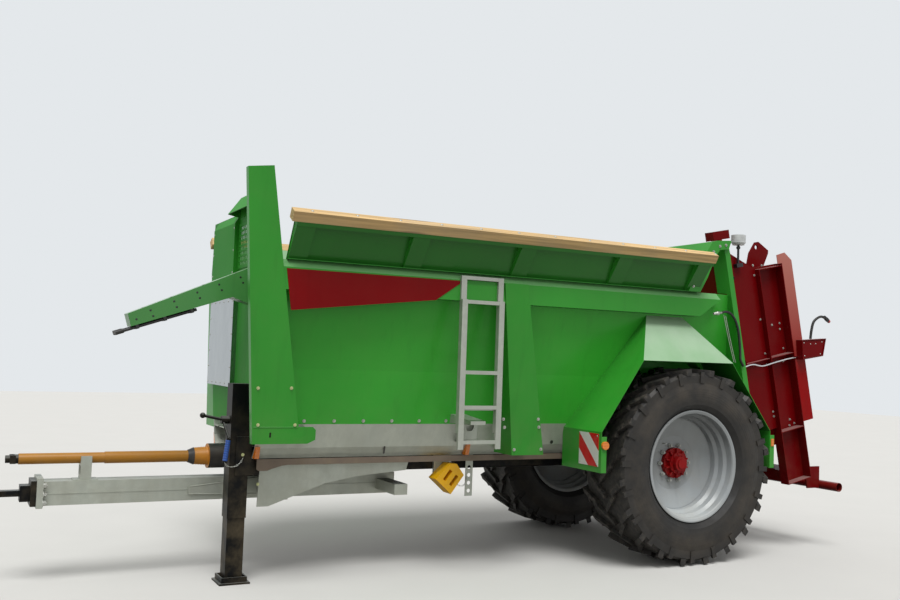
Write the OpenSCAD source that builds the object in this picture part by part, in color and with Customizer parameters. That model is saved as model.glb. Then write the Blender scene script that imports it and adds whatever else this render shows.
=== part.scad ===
// Towed manure spreader with a single axle, a tapered load body and upright beaters.
// X points to the towing end, Y to the machine's left, Z up. Millimetres.
// The origin is on the ground at the middle of the machine. Sub-parts are drawn from the
// point on the ground under the axle, and at_axle() shifts them.

/* [Overall] */
// Reach of the tow eye ahead of the axle
front_reach = 5750; // [5650:10:5900]
// Reach of the rear guard bar behind the axle
rear_reach = 2040; // [2000:5:2150]
// Width over the tyres
overall_w = 2550; // [2520:5:2600]

/* [Wheels] */
// Tyre diameter over the lugs
tyre_d = 1777; // [1765:1:1795]
// Tyre section width
tyre_w = 580; // [560:5:600]
// Height of the tread lugs
lug_h = 42; // [34:1:48]
// Lugs on each half of a tyre
lugs_per_side = 20; // [16:1:22]
// Rim diameter over the flanges
rim_d = 1016; // [990:2:1030]
// Rim width over the flanges
rim_w = 480; // [460:5:500]
// Wheel disc offset inboard from the middle of the tyre
disc_offset = 52; // [40:1:65]
// Hub pilot diameter
pilot_d = 280; // [260:1:290]
// Pitch circle of the wheel studs
stud_pcd = 335; // [325:1:345]
// Number of wheel studs
stud_count = 10; // [8:1:12]
// Brake drum diameter
drum_d = 420; // [380:5:450]
// Side of the square axle beam
axle_s = 130; // [110:2:134]

/* [Side frames] */
// Height of the frames' underside
frame_low_z = 960; // [957:1:975]
// Height of the frames' upper edge on the outside
frame_top_z = 1235; // [1215:1:1255]
// Forward end of the frames ahead of the axle
frame_front_x = 3930; // [3900:5:3950]
// Sheet thickness of the frames
frame_t = 6; // [5:0.5:8]

/* [Load body] */
// Distance from the middle to the wall's outer face at one metre height
wall_foot_y = 630; // [620:1:640]
// Outward lean of the side walls in degrees
wall_lean = 13.4; // [13:0.1:14]
// Wall sheet thickness
wall_t = 5; // [4:0.5:6]
// Height of the load floor
floor_z = 1130; // [1120:1:1140]
// Height of the top rail's upper edge
rail_top_z = 2500; // [2480:1:2520]
// Height of the top rail's section
rail_h = 230; // [215:1:250]
// Distance from the middle to the rail's outer face
rail_out_y = 1060; // [1050:1:1075]
// Sheet thickness of rails, posts and columns
post_t = 5; // [4:0.5:6]
// Outward lean of the wall extensions in degrees
ext_lean = 30; // [27:0.5:32]
// Height of the wall extensions along their slope
ext_len = 345; // [325:1:360]
// Side of the square top board
board_s = 80; // [70:1:85]
// Forward lean of the rear end in degrees
rear_lean = 12; // [11:0.25:13]
// Body's rear end behind the axle at one metre height
rear_end_x = 870; // [850:5:890]

/* [Drawbar and jack] */
// Width of the drawbar beam
beam_w = 180; // [160:2:200]
// Height of the drawbar beam
beam_h = 180; // [170:1:190]
// Height of the drawbar's underside
beam_low_z = 580; // [570:1:585]
// Bore of the tow eye
tow_bore_d = 50; // [40:1:51]
// Height of the power shaft
pto_z = 925; // [915:1:940]
// Diameter of the power shaft guard
guard_d = 92; // [80:1:100]
// Outer side of the jack's square sleeve
jack_s = 150; // [140:2:160]
// Running clearance of the jack leg on each side
jack_gap = 0.5; // [0.3:0.1:1]
// Height of the sleeve's lower end
jack_low_z = 500; // [480:5:520]
// Height of the sleeve's upper end
jack_top_z = 1530; // [1500:5:1560]

/* [Ladder] */
// Distance between the outer faces of the ladder's stiles
ladder_w = 400; // [360:5:440]
// Width of a stile
stile_w = 50; // [40:1:56]
// Depth of a stile
stile_t = 25; // [20:1:28]

/* [Mudguards] */
// Thickness of the mudguard sheets
guard_t = 4; // [3:0.5:6]
// Height of the front and rear end plates
end_plate_h = 350; // [320:5:380]

/* [Gate and spreading unit] */
// Gate sheet thickness with its ribs
gate_t = 36; // [30:1:40]
// Clearance between the gate and its guides
gate_gap = 2; // [1:0.5:4]
// Height of the gate along the rear end
gate_h = 1860; // [1800:5:1880]
// Distance from the middle to the unit's side plates
unit_y = 950; // [940:1:960]
// Radius of the beaters over their flights
beater_r = 425; // [400:1:430]
// Distance of a beater's axis from the middle
beater_y = 465; // [460:1:470]
// Diameter of the beater tubes
beater_tube_d = 190; // [150:5:220]
// Radius of the spreading discs
disc_r = 425; // [400:1:430]
// Turns of each beater's flight
flight_turns = 2.5; // [2:0.25:3]
// Diameter of the round rear guard bar
bar_d = 90; // [76:1:102]

/* [Hidden] */

$fn = 48;
seat = 0.3;
far = 9000;
left = 1;
right = -1;

green = [0.20, 0.52, 0.20];
pale_green = [0.45, 0.72, 0.42];
dark_red = [0.50, 0.07, 0.08];
galvanised = [0.66, 0.67, 0.64];
black = [0.06, 0.06, 0.06];
rubber = [0.12, 0.11, 0.10];
silver = [0.72, 0.74, 0.74];
wood = [0.79, 0.66, 0.46];
amber = [0.90, 0.40, 0.05];

axle_x = (rear_reach - front_reach) / 2;
axle_z = tyre_d / 2;
wheel_y = (overall_w - tyre_w) / 2;
datum_z = 1000;
rail_low_z = rail_top_z - rail_h;

// Outer face of a side wall at a height, and its inner face
function wall_y(z) = wall_foot_y + (z - datum_z) * tan(wall_lean);
function inner_y(z) = wall_y(z) - wall_t - frame_t;
// The body ends this far behind the leaning frame's own plane
body_end = 50;
// X of the leaning rear end at a height
function rear_x(z) = -rear_end_x - body_end / cos(rear_lean) + (z - datum_z) * tan(rear_lean);
// Outer face of the posts and columns, which lean less than the walls
post_foot_y = 930;
post_slope = 0.107;
function post_y(z) = post_foot_y + (z - datum_z) * post_slope;

module at_axle() translate([axle_x, 0, 0]) children();
module on_side(side) mirror([0, side == right ? 1 : 0, 0]) children();
module both_sides() for (side = [left, right]) on_side(side) children();
// Outline with Y to the right and Z up, run along X
module along_x(x0, x1) translate([x0, 0, 0]) rotate([90, 0, 90]) linear_extrude(x1 - x0) children();
// Outline with X to the right and Z up, run along Y
module along_y(y0, y1) translate([0, y1, 0]) rotate([90, 0, 0]) linear_extrude(y1 - y0) children();
module block(low, high) translate(low) cube(high - low);
// Rod between two points
module rod(a, b, d) {
    v = b - a;
    len = norm(v);
    translate(a) rotate([0, acos(v[2] / len), atan2(v[1], v[0])]) cylinder(h = len, d = d);
}
// Frame of the leaning rear end: X out of the body's rear is negative, Z runs up the slope
module leaning() translate([-rear_end_x, 0, datum_z]) rotate([0, rear_lean, 0]) children();
function leant(x, z) = [-rear_end_x + x * cos(rear_lean) + z * sin(rear_lean), 0,
    datum_z - x * sin(rear_lean) + z * cos(rear_lean)];
module cut_at_rear() difference() {
    children();
    leaning() translate([-far - body_end, -far / 2, -far / 2]) cube(far);
}

// Flat sheet through points in one plane, thickened by t against its normal
function normal_of(p) = let (n = cross(p[1] - p[0], p[2] - p[1])) n / norm(n);
module sheet(p, t) {
    n = len(p);
    back = [for (q = p) q - t * normal_of(p)];
    polyhedron(points = concat(p, back),
        faces = concat([[for (i = [n - 1:-1:0]) i]], [[for (i = [0:n - 1]) n + i]],
            [for (i = [0:n - 1]) [i, (i + 1) % n, n + (i + 1) % n, n + i]]));
}

// Wheels

rim_r = rim_d / 2;
bead_r = rim_r - 25;
tread_r = axle_z - lug_h;
rubber_t = 34;
bulge_r = (tread_r + bead_r) / 2;
bulge_fall = 46;
bead_half = rim_w / 2 - 28;
shoulder_half = tyre_w / 2 - 26;
flank_steps = 5;
function flank_y(r) = tyre_w / 2 - bulge_fall * pow((r - bulge_r) / (tread_r - bulge_r), 2);
flank = [for (i = [1:flank_steps]) let (r = bead_r + 30 + (tread_r - 70 - bead_r) * i / (flank_steps + 1))
    [r, flank_y(r)]];
function mirrored(p) = [for (i = [len(p) - 1:-1:0]) [p[i][0], -p[i][1]]];
lug_w = 58;
lug_reach = tyre_w / 2 - 4;
lug_sweep = 235;
lug_overlap = 12;
lug_sink = 20;
lug_end_w = 46;
lug_end_h = 88;

module carcass_outline() {
    outer = concat([[bead_r, bead_half], [bead_r + 20, bead_half + 10], [rim_r + 6, bead_half + 16]], flank,
        [[tread_r - 22, shoulder_half + 16], [tread_r, shoulder_half - 14]]);
    inner = concat([[bead_r, bead_half - 30]], [for (p = flank) [p[0], p[1] - rubber_t * 0.8]],
        [[tread_r - rubber_t - 22, shoulder_half - rubber_t], [tread_r - rubber_t,
            shoulder_half - rubber_t - 40]]);
    difference() {
        polygon(concat(outer, mirrored(outer)));
        polygon(concat([[bead_r - 1, bead_half - 30]], inner, mirrored(inner), [[bead_r - 1,
            30 - bead_half]]));
    }
}

// One lug in two straight stretches, laid on the tread at its own angle
module lug() {
    for (k = [0, 1]) {
        y0 = k == 0 ? -14 : lug_reach / 2 - lug_overlap;
        y1 = k == 0 ? lug_reach / 2 + lug_overlap : lug_reach;
        mid = (y0 + y1) / 2 / lug_reach;
        turn = lug_sweep * mid / tread_r * 180 / PI;
        lean = lug_sweep / lug_reach * (k == 0 ? 1.1 : 0.85);
        w = lug_w * (k == 0 ? 0.85 : 1);
        half = (y1 - y0) / 2;
        top = sqrt(pow(axle_z, 2) - pow(half * lean + w / 2, 2));
        rotate([0, turn, 0]) translate([0, (y0 + y1) / 2, -top]) linear_extrude(top - tread_r + lug_sink)
            polygon([[-half * lean - w / 2, -half], [-half * lean + w / 2, -half],
                [half * lean + w / 2, half], [half * lean - w / 2, half]]);
    }
    // Its end runs down the shoulder
    rotate([0, lug_sweep * 0.96 / tread_r * 180 / PI, 0])
        block([-lug_end_w / 2, lug_reach - 24, -tread_r - 12], [lug_end_w / 2, lug_reach + 2.5,
            -tread_r + lug_end_h]);
}

module tyre(side) at_axle() color(rubber) on_side(side) translate([0, wheel_y, axle_z]) {
    rotate([-90, 0, 0]) rotate_extrude($fn = 96) carcass_outline();
    step = 360 / lugs_per_side;
    for (i = [0:lugs_per_side - 1]) {
        rotate([0, i * step, 0]) lug();
        rotate([0, (i + 0.5) * step, 0]) mirror([0, 1, 0]) lug();
    }
}

// Rim barrel: drop below the flange and inset from the rim's edge, on the tyre's side and inside
bead_drop = 25.4;
barrel_out = [[0, 0], [0, 11], [18, 15], [bead_drop, 26], [bead_drop, 77], [51, 101], [51, 158], [77, 182]];
barrel_in = [[86, 186], [60, 162], [60, 104], [35, 80], [35, 20], [30, 8], [10, 0]];
function barrel(steps) = [for (p = steps) [rim_r - p[0], rim_w / 2 - p[1]]];

module rim(side) at_axle() color(silver) on_side(side) translate([0, wheel_y, axle_z]) rotate([-90, 0, 0])
    difference() {
        union() {
            rotate_extrude($fn = 96) rim_outline();
            disc_outline_solid();
        }
        translate([0, 0, -disc_offset - 40]) cylinder(h = 80, d = pilot_d + 1);
        for (i = [0:stud_count - 1]) rotate([0, 0, i * 360 / stud_count])
            translate([stud_pcd / 2, 0, -disc_offset - 40]) cylinder(h = 80, d = 26);
    }

module rim_outline() polygon(concat(barrel(barrel_out), mirrored(barrel(barrel_out)),
    mirrored(barrel(barrel_in)), barrel(barrel_in)));

dish_r = 250;
module disc_outline_solid() rotate_extrude($fn = 96)
    polygon([[0, -disc_offset], [dish_r, -disc_offset], [bead_r - 70, 0], [bead_r - 56, 0], [bead_r - 56,
        -18],
        [bead_r - 66, -18], [dish_r + 6, -disc_offset - 14], [0, -disc_offset - 14]]);

hub_len = 120;
drum_w = 120;
hub_face = -disc_offset - 14;
module hub(side) at_axle() color(dark_red) on_side(side) translate([0, wheel_y, axle_z]) rotate([-90, 0, 0]) {
    translate([0, 0, hub_face - 30]) cylinder(h = 30 - seat, d = stud_pcd + 55);
    translate([0, 0, hub_face - 30]) cylinder(h = 30 + 14 + 40, d = pilot_d - 2);
    translate([0, 0, hub_face]) cylinder(h = 14 + 75, d = 190);
    translate([0, 0, hub_face]) cylinder(h = 14 + hub_len, d = 130);
    translate([0, 0, hub_face + hub_len]) cylinder(h = 26, d = 84);
    for (i = [0:stud_count - 1]) rotate([0, 0, i * 360 / stud_count]) translate([stud_pcd / 2, 0,
        hub_face - 10]) {
        cylinder(h = 66, d = 22);
        translate([0, 0, 24 + seat]) cylinder(h = 24, d = 40, $fn = 6);
    }
    for (i = [0:stud_count - 1]) rotate([0, 0, (i + 0.5) * 360 / stud_count]) {
        translate([84, 0, hub_face + 80]) cylinder(h = 16, d = 20, $fn = 6);
        block([90, -7, hub_face + 40], [pilot_d / 2 - 6, 7, hub_face + 78]);
    }
}

rail_w = 88;
rail_in_y = 400;
pad_in_y = rail_in_y + rail_w + seat;
pad_w = 100;
drum_in_y = wheel_y + hub_face - 30 - drum_w;
module axle_beam() at_axle() color(black) translate([0, 0, axle_z]) {
    translate([-axle_s / 2, -(drum_in_y - 24), -axle_s / 2]) cube([axle_s, 2 * (drum_in_y - 24), axle_s]);
    both_sides() {
        rotate([-90, 0, 0]) translate([0, 0, drum_in_y - 26]) cylinder(h = 14, d = drum_d - 60);
        translate([-110, pad_in_y, axle_s / 2 - 12]) cube([220, pad_w,
            frame_low_z - axle_z - axle_s / 2 + 12]);
        block([-70, pad_in_y - 90, -axle_s / 2 - 16], [70, pad_in_y + pad_w, -axle_s / 2 + 2]);
    }
}

module brake_drums() at_axle() color(black) both_sides() translate([0, 0, axle_z]) rotate([-90, 0, 0]) {
    translate([0, 0, drum_in_y - 12 + seat]) cylinder(h = drum_w + 12 - 2 * seat, d = drum_d);
    translate([0, 0, drum_in_y + drum_w / 2]) cylinder(h = 14, d = drum_d + 24);
}

// Chassis

rail_low = 840;
rail_t = 8;
rail_rear_x = -700;
rail_front_x = frame_front_x - 70;
cross_h = 58;
cross_w = 70;
cross_half = 565;
lower_cross_x = [3300, 2500, 1500, 500, -500];
module channel_outline() difference() {
    translate([rail_in_y, rail_low]) square([rail_w, frame_low_z - rail_low]);
    translate([rail_in_y - 1, rail_low + rail_t]) square([rail_w - rail_t + 1,
        frame_low_z - rail_low - 2 * rail_t]);
}
head_t = 70;
head_low_z = 830;
head_top_z = 1200;
head_half = 560;
pto_boss_d = 150;
module chassis_frame() at_axle() color(black) {
    both_sides() {
        along_x(axle_s / 2 + seat, rail_front_x) channel_outline();
        along_x(rail_rear_x, -axle_s / 2 - seat) channel_outline();
    }
    for (x = lower_cross_x) block([x - cross_w / 2, -cross_half, frame_low_z - cross_h],
        [x + cross_w / 2, cross_half, frame_low_z]);
    // Headstock with the bearing of the power input
    difference() {
        block([rail_front_x, -head_half, head_low_z], [rail_front_x + head_t, head_half, frame_low_z]);
        for (y = [-380, 170]) block([rail_front_x - 1, y, head_low_z + 30],
            [rail_front_x + head_t + 1, y + 210, frame_low_z - 24]);
    }
    translate([rail_front_x - 60, 0, pto_z]) rotate([0, 90, 0]) cylinder(h = head_t + 90, d = pto_boss_d);
}

// Side frame: galvanised channel whose upper edge laps behind the wall sheet
lip_z = frame_low_z + 85;
lip_in = 65;
flange_w = 60;
lap_h = 40;
module frame_outline() polygon([[wall_y(frame_top_z), frame_top_z], [wall_y(lip_z), lip_z],
    [wall_y(lip_z) - lip_in, frame_low_z], [wall_y(lip_z) - lip_in - flange_w, frame_low_z],
    [wall_y(lip_z) - lip_in - flange_w, frame_low_z + frame_t], [wall_y(lip_z) - lip_in - frame_t,
        frame_low_z + frame_t],
    [inner_y(lip_z), lip_z], [inner_y(frame_top_z + lap_h), frame_top_z + lap_h],
    [wall_y(frame_top_z + lap_h) - wall_t, frame_top_z + lap_h], [wall_y(frame_top_z) - wall_t,
        frame_top_z]]);

module side_frames() at_axle() color(galvanised) both_sides() {
    cut_at_rear() difference() {
        along_x(-1400, frame_front_x) frame_outline();
        block([-1400, 0, frame_top_z], [pocket_front_x, 2000, frame_top_z + lap_h + 1]);
    }
    // Bearing blocks of the scraper shafts
    for (x = [chain_rear_x, chain_front_x])
        block([x - 45, bearing_y, lip_z + 1], [x + 45, inner_y(lip_z) + 8, chain_z + 40]);
}

floor_t = 8;
upper_cross_x = [3500, 2900, 2300, 1700, 1100, 500, -100, -560];
upper_cross_h = 55;
floor_rear_gap = 12;
slot_w = 46;
module floor_plate() at_axle() color(galvanised) {
    difference() {
        block([rear_x(floor_z) + floor_rear_gap, -inner_y(floor_z - floor_t) + seat, floor_z - floor_t],
            [frame_front_x - 4, inner_y(floor_z - floor_t) - seat, floor_z]);
        for (y = chain_ys) {
            block([rear_x(floor_z), y - slot_w / 2, floor_z - 20], [chain_rear_x + sprocket_r + 6,
                y + slot_w / 2, floor_z + 1]);
            block([chain_front_x - sprocket_r - 6, y - slot_w / 2, floor_z - 20], [frame_front_x,
                y + slot_w / 2, floor_z + 1]);
        }
    }
    for (x = upper_cross_x) block([x - 30, -inner_y(floor_z - floor_t - upper_cross_h) + seat,
        floor_z - floor_t - upper_cross_h],
        [x + 30, inner_y(floor_z - floor_t - upper_cross_h) - seat, floor_z - floor_t]);
}

// Scraper floor: chains over the floor, round two shafts and back below it
chain_t = 14;
chain_w = 34;
sprocket_r = 66;
chain_rear_x = rear_x(floor_z) + 60 + sprocket_r;
chain_front_x = frame_front_x - 90 - sprocket_r;
chain_z = floor_z + seat + chain_t / 2 - sprocket_r;
chain_ys = [-500, -60, 60, 500];
slat_h = 22;
slat_w = 50;
slat_half = 552;
slat_in = 30;
slat_count = 11;
slat_step = (chain_front_x - chain_rear_x) / slat_count;
module stadium(r) {
    translate([chain_rear_x, chain_z]) circle(r = r);
    translate([chain_front_x, chain_z]) circle(r = r);
    translate([chain_rear_x, chain_z - r]) square([chain_front_x - chain_rear_x, 2 * r]);
}
module scraper_chains() at_axle() color(galvanised) {
    for (y = chain_ys) along_y(y - chain_w / 2, y + chain_w / 2) difference() {
        stadium(sprocket_r + chain_t / 2);
        stadium(sprocket_r - chain_t / 2);
    }
    for (i = [0:slat_count - 1], s = [left, right]) on_side(s) {
        x = chain_rear_x + (i + 0.5) * slat_step;
        block([x - slat_w / 2, slat_in, chain_z + sprocket_r + chain_t / 2 - 4],
            [x + slat_w / 2, slat_half, chain_z + sprocket_r + chain_t / 2 + slat_h]);
        block([x - slat_w / 2, slat_in, chain_z - sprocket_r - chain_t / 2 - slat_h],
            [x + slat_w / 2, slat_half, chain_z - sprocket_r - chain_t / 2 + 4]);
    }
}
shaft_d = 50;
bearing_y = inner_y(lip_z) - 22;
module scraper_shafts() at_axle() color(black) for (x = [chain_rear_x, chain_front_x]) {
    translate([x, 0, chain_z]) rotate([-90, 0, 0]) translate([0, 0, seat - bearing_y])
        cylinder(h = 2 * (bearing_y - seat), d = shaft_d);
    for (y = chain_ys) translate([x, y - chain_w / 2 + 6, chain_z]) rotate([-90, 0, 0])
        cylinder(h = chain_w - 12, r = sprocket_r - chain_t / 2 - seat);
}

// Load body

// Recess in each wall that clears the tyre, hidden by the mudguard
pocket_front_x = 860;
pocket_y = 681;
pocket_top_z = 1830;
pocket_roof_z = 1930;
module pocket_outline(t, low) polygon([[pocket_front_x - t, low], [800 - t, 1450], [480 - t, 1780 - t / 2],
    [400 - t, pocket_top_z - t], [t - 360, pocket_top_z - t], [t - 430, 1780 - t / 2], [t - 715, 1450],
        [t - 845, low]]);
module wall(side) at_axle() color(green) on_side(side) difference() {
    union() {
        cut_at_rear() along_x(-900, frame_front_x) polygon([[wall_y(frame_top_z), frame_top_z],
            [wall_y(rail_top_z), rail_top_z], [wall_y(rail_top_z) - wall_t, rail_top_z],
                [wall_y(frame_top_z) - wall_t, frame_top_z]]);
        intersection() {
            along_y(0, 2000) pocket_outline(0, frame_top_z);
            along_x(-900, 900) polygon([[wall_y(frame_top_z), frame_top_z], [wall_y(pocket_roof_z),
                pocket_roof_z],
                [wall_y(pocket_roof_z) - wall_t, pocket_roof_z], [pocket_y - wall_t, pocket_top_z],
                    [pocket_y - wall_t, frame_top_z]]);
        }
    }
    intersection() {
        along_y(0, 2000) pocket_outline(wall_t, frame_top_z - 1);
        along_x(-900, 900) polygon([[2000, frame_top_z - 1], [2000, pocket_roof_z], [wall_y(pocket_roof_z),
            pocket_roof_z],
            [pocket_y, pocket_top_z - wall_t / 2], [pocket_y, frame_top_z - 1]]);
    }
}

rail_edge_z = rail_top_z - 60;
rail_strip_y = rail_out_y - 62;
rail_rear_top_x = -440;
rail_rear_low_x = -190;
// Rear edge of the front columns
column_rear = [[3690, 1236], [3927, 2580]];
column_slope = (column_rear[1][0] - column_rear[0][0]) / (column_rear[1][1] - column_rear[0][1]);
function column_x(z) = column_rear[0][0] + column_slope * (z - column_rear[0][1]);
module top_rails() at_axle() color(green) both_sides() intersection() {
    along_x(-600, column_x(rail_top_z)) difference() {
        polygon([[wall_y(rail_low_z), rail_low_z], [rail_out_y, rail_low_z], [rail_out_y, rail_edge_z],
            [rail_strip_y, rail_top_z], [wall_y(rail_top_z), rail_top_z]]);
        polygon([[wall_y(rail_low_z) + 2 * post_t, rail_low_z + post_t], [rail_out_y - post_t,
            rail_low_z + post_t],
            [rail_out_y - post_t, rail_edge_z - post_t / 2], [rail_strip_y - post_t / 2,
                rail_top_z - post_t - 2],
            [wall_y(rail_top_z), rail_top_z - post_t - 2]]);
    }
    along_y(0, 2000) polygon([[column_x(rail_low_z) - seat, rail_low_z], [rail_rear_low_x, rail_low_z],
        [rail_rear_top_x, rail_edge_z], [rail_rear_top_x, rail_top_z], [column_x(rail_top_z) - seat,
            rail_top_z]]);
}

// Wedge-shaped panel on the rail's outer face, hanging below it at the front
wedge_t = 5;
module wedge_panels() at_axle() color(dark_red) both_sides() along_y(rail_out_y + seat,
    rail_out_y + seat + wedge_t)
    translate([0, rail_low_z]) polygon([[3872, 157], [ladder_x[1] + 5, 161], [ladder_x[1] + 5, 137], [2616,
        -10],
        [3826, -155]]);

// Wedge-shaped post on each side wall: front and rear edge at the foot and the head
post_foot_z = 985;
post_foot_x = [1450, 1770];
post_head_x = [1715, 1955];
function post_x(k, z) = post_foot_x[k] + (post_head_x[k] - post_foot_x[k]) * (z - post_foot_z) / (rail_low_z - post_foot_z);
module post_outline(t, top) polygon([[post_x(0, post_foot_z - 1) + t, post_foot_z - 1],
    [post_x(1, post_foot_z - 1) - t, post_foot_z - 1], [post_x(1, top) - t, top], [post_x(0, top) + t, top]]);
module side_posts() at_axle() color(green) both_sides() difference() {
    intersection() {
        along_x(1300, 2100) polygon([[wall_y(post_foot_z) + seat, post_foot_z], [post_y(post_foot_z),
            post_foot_z],
            [post_y(rail_edge_z), rail_edge_z], [rail_out_y + seat, rail_edge_z], [rail_out_y + seat,
                rail_low_z - seat],
            [wall_y(rail_low_z) + seat, rail_low_z - seat]]);
        along_y(0, 2000) post_outline(0, rail_edge_z);
    }
    intersection() {
        along_y(0, 2000) post_outline(post_t, rail_low_z - 20);
        along_x(1300, 2100) polygon([[0, post_foot_z - 2], [post_y(post_foot_z) - post_t, post_foot_z - 2],
            [post_y(rail_low_z) - post_t, rail_low_z + 2], [0, rail_low_z + 2]]);
    }
}

// Wall extension in its own frame: Y out of the sheet, Z up along it
ext_foot_y = wall_y(rail_top_z) + 2;
ext_front_x = 3860;
ext_rear_x = -200;
rib_w = 150;
rib_xs = [3780, 2820, 1820, 800, -110];
ledge_w = board_s - 4;
ledge_lip = 34;
module on_extension() translate([0, ext_foot_y, rail_top_z]) rotate([-ext_lean, 0, 0]) children();
module wall_extensions() at_axle() color(green) both_sides() difference() {
    on_extension() extension();
    along_y(arch_y[0] - seat, arch_y[1] + seat) polygon(concat(arch_out, arch_in));
}
module extension() {
    along_x(ext_rear_x, ext_front_x)
        polygon([[0, 4], [0, ext_len], [ledge_w, ext_len], [ledge_w, ext_len - ledge_lip],
            [ledge_w - post_t, ext_len - ledge_lip], [ledge_w - post_t, ext_len - post_t], [post_t,
                ext_len - post_t], [post_t, 4]]);
    for (x = rib_xs) along_x(x - rib_w / 2, x + rib_w / 2) polygon([[post_t - 1, 14], [28, 26],
        [ledge_w - post_t - 6, ext_len - ledge_lip - 6], [ledge_w - post_t + 2, ext_len - ledge_lip + 6],
        [ledge_w - post_t + 2, ext_len - 2], [post_t - 1, ext_len - 2]]);
    // Foot flange that seats on the top rail
    rotate([ext_lean, 0, 0]) along_x(ext_rear_x + 3, ext_front_x - 3) square([58, post_t]);
}
board_front_x = 3900;
module top_boards() at_axle() color(wood) both_sides() on_extension()
    block([ext_rear_x - 10, 0, ext_len], [board_front_x, board_s, ext_len + board_s]);

// Front corner columns
column_foot = [column_rear[0], [3576, 1236], [3550, 1213], [3548, 1137], [3610, 1107]];
column_outline = concat([[4040, 1107], [4225, rail_top_z + 640], [4032, rail_top_z + 668]], column_foot);
short_column_top = rail_low_z + 60;
short_column_outline = concat([[frame_front_x, 1107], [frame_front_x, short_column_top],
    [column_x(short_column_top), short_column_top]], column_foot);
// Depth of the column's front fold ahead of the frames
fold_depth = 60;
module column(outline) difference() {
    intersection() {
        along_y(0, 2000) polygon(outline);
        along_x(3400, 4300) polygon([[600, 1000], [post_y(1000), 1000], [post_y(3300), 3300], [940, 3300],
            [wall_y(rail_top_z) + seat, rail_top_z], [wall_y(1000) + seat, 1000]]);
    }
    intersection() {
        along_x(3400, 4300) polygon([[600, 1000], [post_y(1000) - post_t, 1000], [post_y(3300) - post_t,
            3300], [600, 3300]]);
        along_y(0, 2000) polygon([for (p = outline)
            p + [p[0] > 3929 ? -post_t : post_t, p[1] > 2300 ? -post_t : (p[1] < 1200 ? -2 : post_t)]]);
    }
    along_x(frame_front_x + 12, 4300)
        polygon([[600, 1000], [post_y(1000) - fold_depth, 1000], [post_y(3300) - fold_depth, 3300], [600,
            3300]]);
}
module front_columns() at_axle() color(green) {
    column(column_outline);
    mirror([0, 1, 0]) column(short_column_outline);
}

// Front wall with the viewing window
front_wall_t = 6;
window_y = [-60, 620];
window_z = [rail_top_z, rail_top_z + 360];
front_wall_top_z = rail_top_z + 460;
module front_wall() at_axle() color(green) difference() {
    along_x(frame_front_x + seat, frame_front_x + seat + front_wall_t) polygon([
        [wall_y(frame_low_z) - 140, head_top_z], [wall_y(head_top_z), head_top_z], [wall_y(rail_top_z),
            rail_top_z],
        [940, front_wall_top_z], [-940, front_wall_top_z], [-wall_y(rail_top_z), rail_top_z],
            [-wall_y(head_top_z), head_top_z],
        [140 - wall_y(frame_low_z), head_top_z]]);
    block([frame_front_x - 10, window_y[0], window_z[0]], [frame_front_x + 40, window_y[1], window_z[1]]);
}

grille_pitch = 43;
grille_bar = 16;
grille_t = 6;
module window_grille() at_axle() color(green) difference() {
    block([frame_front_x + seat + front_wall_t, window_y[0] - 12, window_z[0] - 12],
        [frame_front_x + seat + front_wall_t + grille_t, window_y[1] + 12, window_z[1] + 12]);
    for (iy = [0:floor((window_y[1] - window_y[0] - grille_bar) / grille_pitch) - 1],
        iz = [0:floor((window_z[1] - window_z[0] - grille_bar) / grille_pitch) - 1])
        translate([frame_front_x - 10, window_y[0] + grille_bar + iy * grille_pitch,
            window_z[0] + grille_bar + iz * grille_pitch])
            cube([60, grille_pitch - grille_bar, grille_pitch - grille_bar]);
}

hood_y = [-80, 800];
module window_hood() at_axle() color(green) {
    face_x = frame_front_x + seat + front_wall_t;
    translate([face_x, 0, front_wall_top_z]) {
        along_y(hood_y[0], hood_y[1])
            polygon([[0, -35], [4, -35], [4, 125], [103, -15], [107, -11], [0, 138]]);
        for (y = [hood_y[0], hood_y[1] - 5]) along_y(y, y + 5) polygon([[0, -35], [105, -15], [0, 133]]);
    }
}

cover_y = [-800, -84];
cover_z = [2245, front_wall_top_z - 80, front_wall_top_z - 5];
cover_d = 40;
module front_cover() at_axle() color(pale_green) {
    face_x = frame_front_x + seat + front_wall_t;
    difference() {
        along_y(cover_y[0], cover_y[1]) polygon([[face_x, cover_z[0]], [face_x + cover_d, cover_z[0]],
            [face_x + cover_d, cover_z[1]], [face_x, cover_z[2]]]);
        along_y(cover_y[0] + 4, cover_y[1] - 4) polygon([[face_x - 1, cover_z[0] - 10],
            [face_x + cover_d - 4, cover_z[0] - 10], [face_x + cover_d - 4, cover_z[1] - 2], [face_x - 1,
                cover_z[2] - 7]]);
    }
}

panel_y = [-800, -20];
panel_z = [1490, 2240];
module polished_panel() at_axle() color(silver) {
    face_x = frame_front_x + seat + front_wall_t;
    block([face_x, panel_y[0], panel_z[0]], [face_x + 40, panel_y[1], panel_z[1]]);
}

// Hose arm

arm_y = [400, 560];
arm_root_x = frame_front_x + seat + front_wall_t;
arm_tip_x = 4915;
arm_root_z = [2284, 2486];
arm_tip_z = [1950, 2045];
module hose_arm() at_axle() color(pale_green) {
    difference() {
        along_y(arm_y[0], arm_y[1]) polygon([[arm_root_x, arm_root_z[0]], [arm_root_x, arm_root_z[1]],
            [arm_tip_x, arm_tip_z[1]], [arm_tip_x - 28, arm_tip_z[0]]]);
        along_y(arm_y[0] + 4, arm_y[1] - 4) polygon([[arm_root_x - 1, arm_root_z[0] - 22],
            [arm_root_x - 1, arm_root_z[1] - 4], [arm_tip_x - 6, arm_tip_z[1] - 5], [arm_tip_x - 34,
                arm_tip_z[0] - 10]]);
    }
    along_y(arm_y[0], arm_y[1]) translate([arm_root_x, arm_root_z[0]])
        polygon([[0, -130], [6, -130], [190, -76], [200, -68], [0, 8]]);
}
hose_d = 24;
hose_ys = [425, 462, 499, 536];
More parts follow.
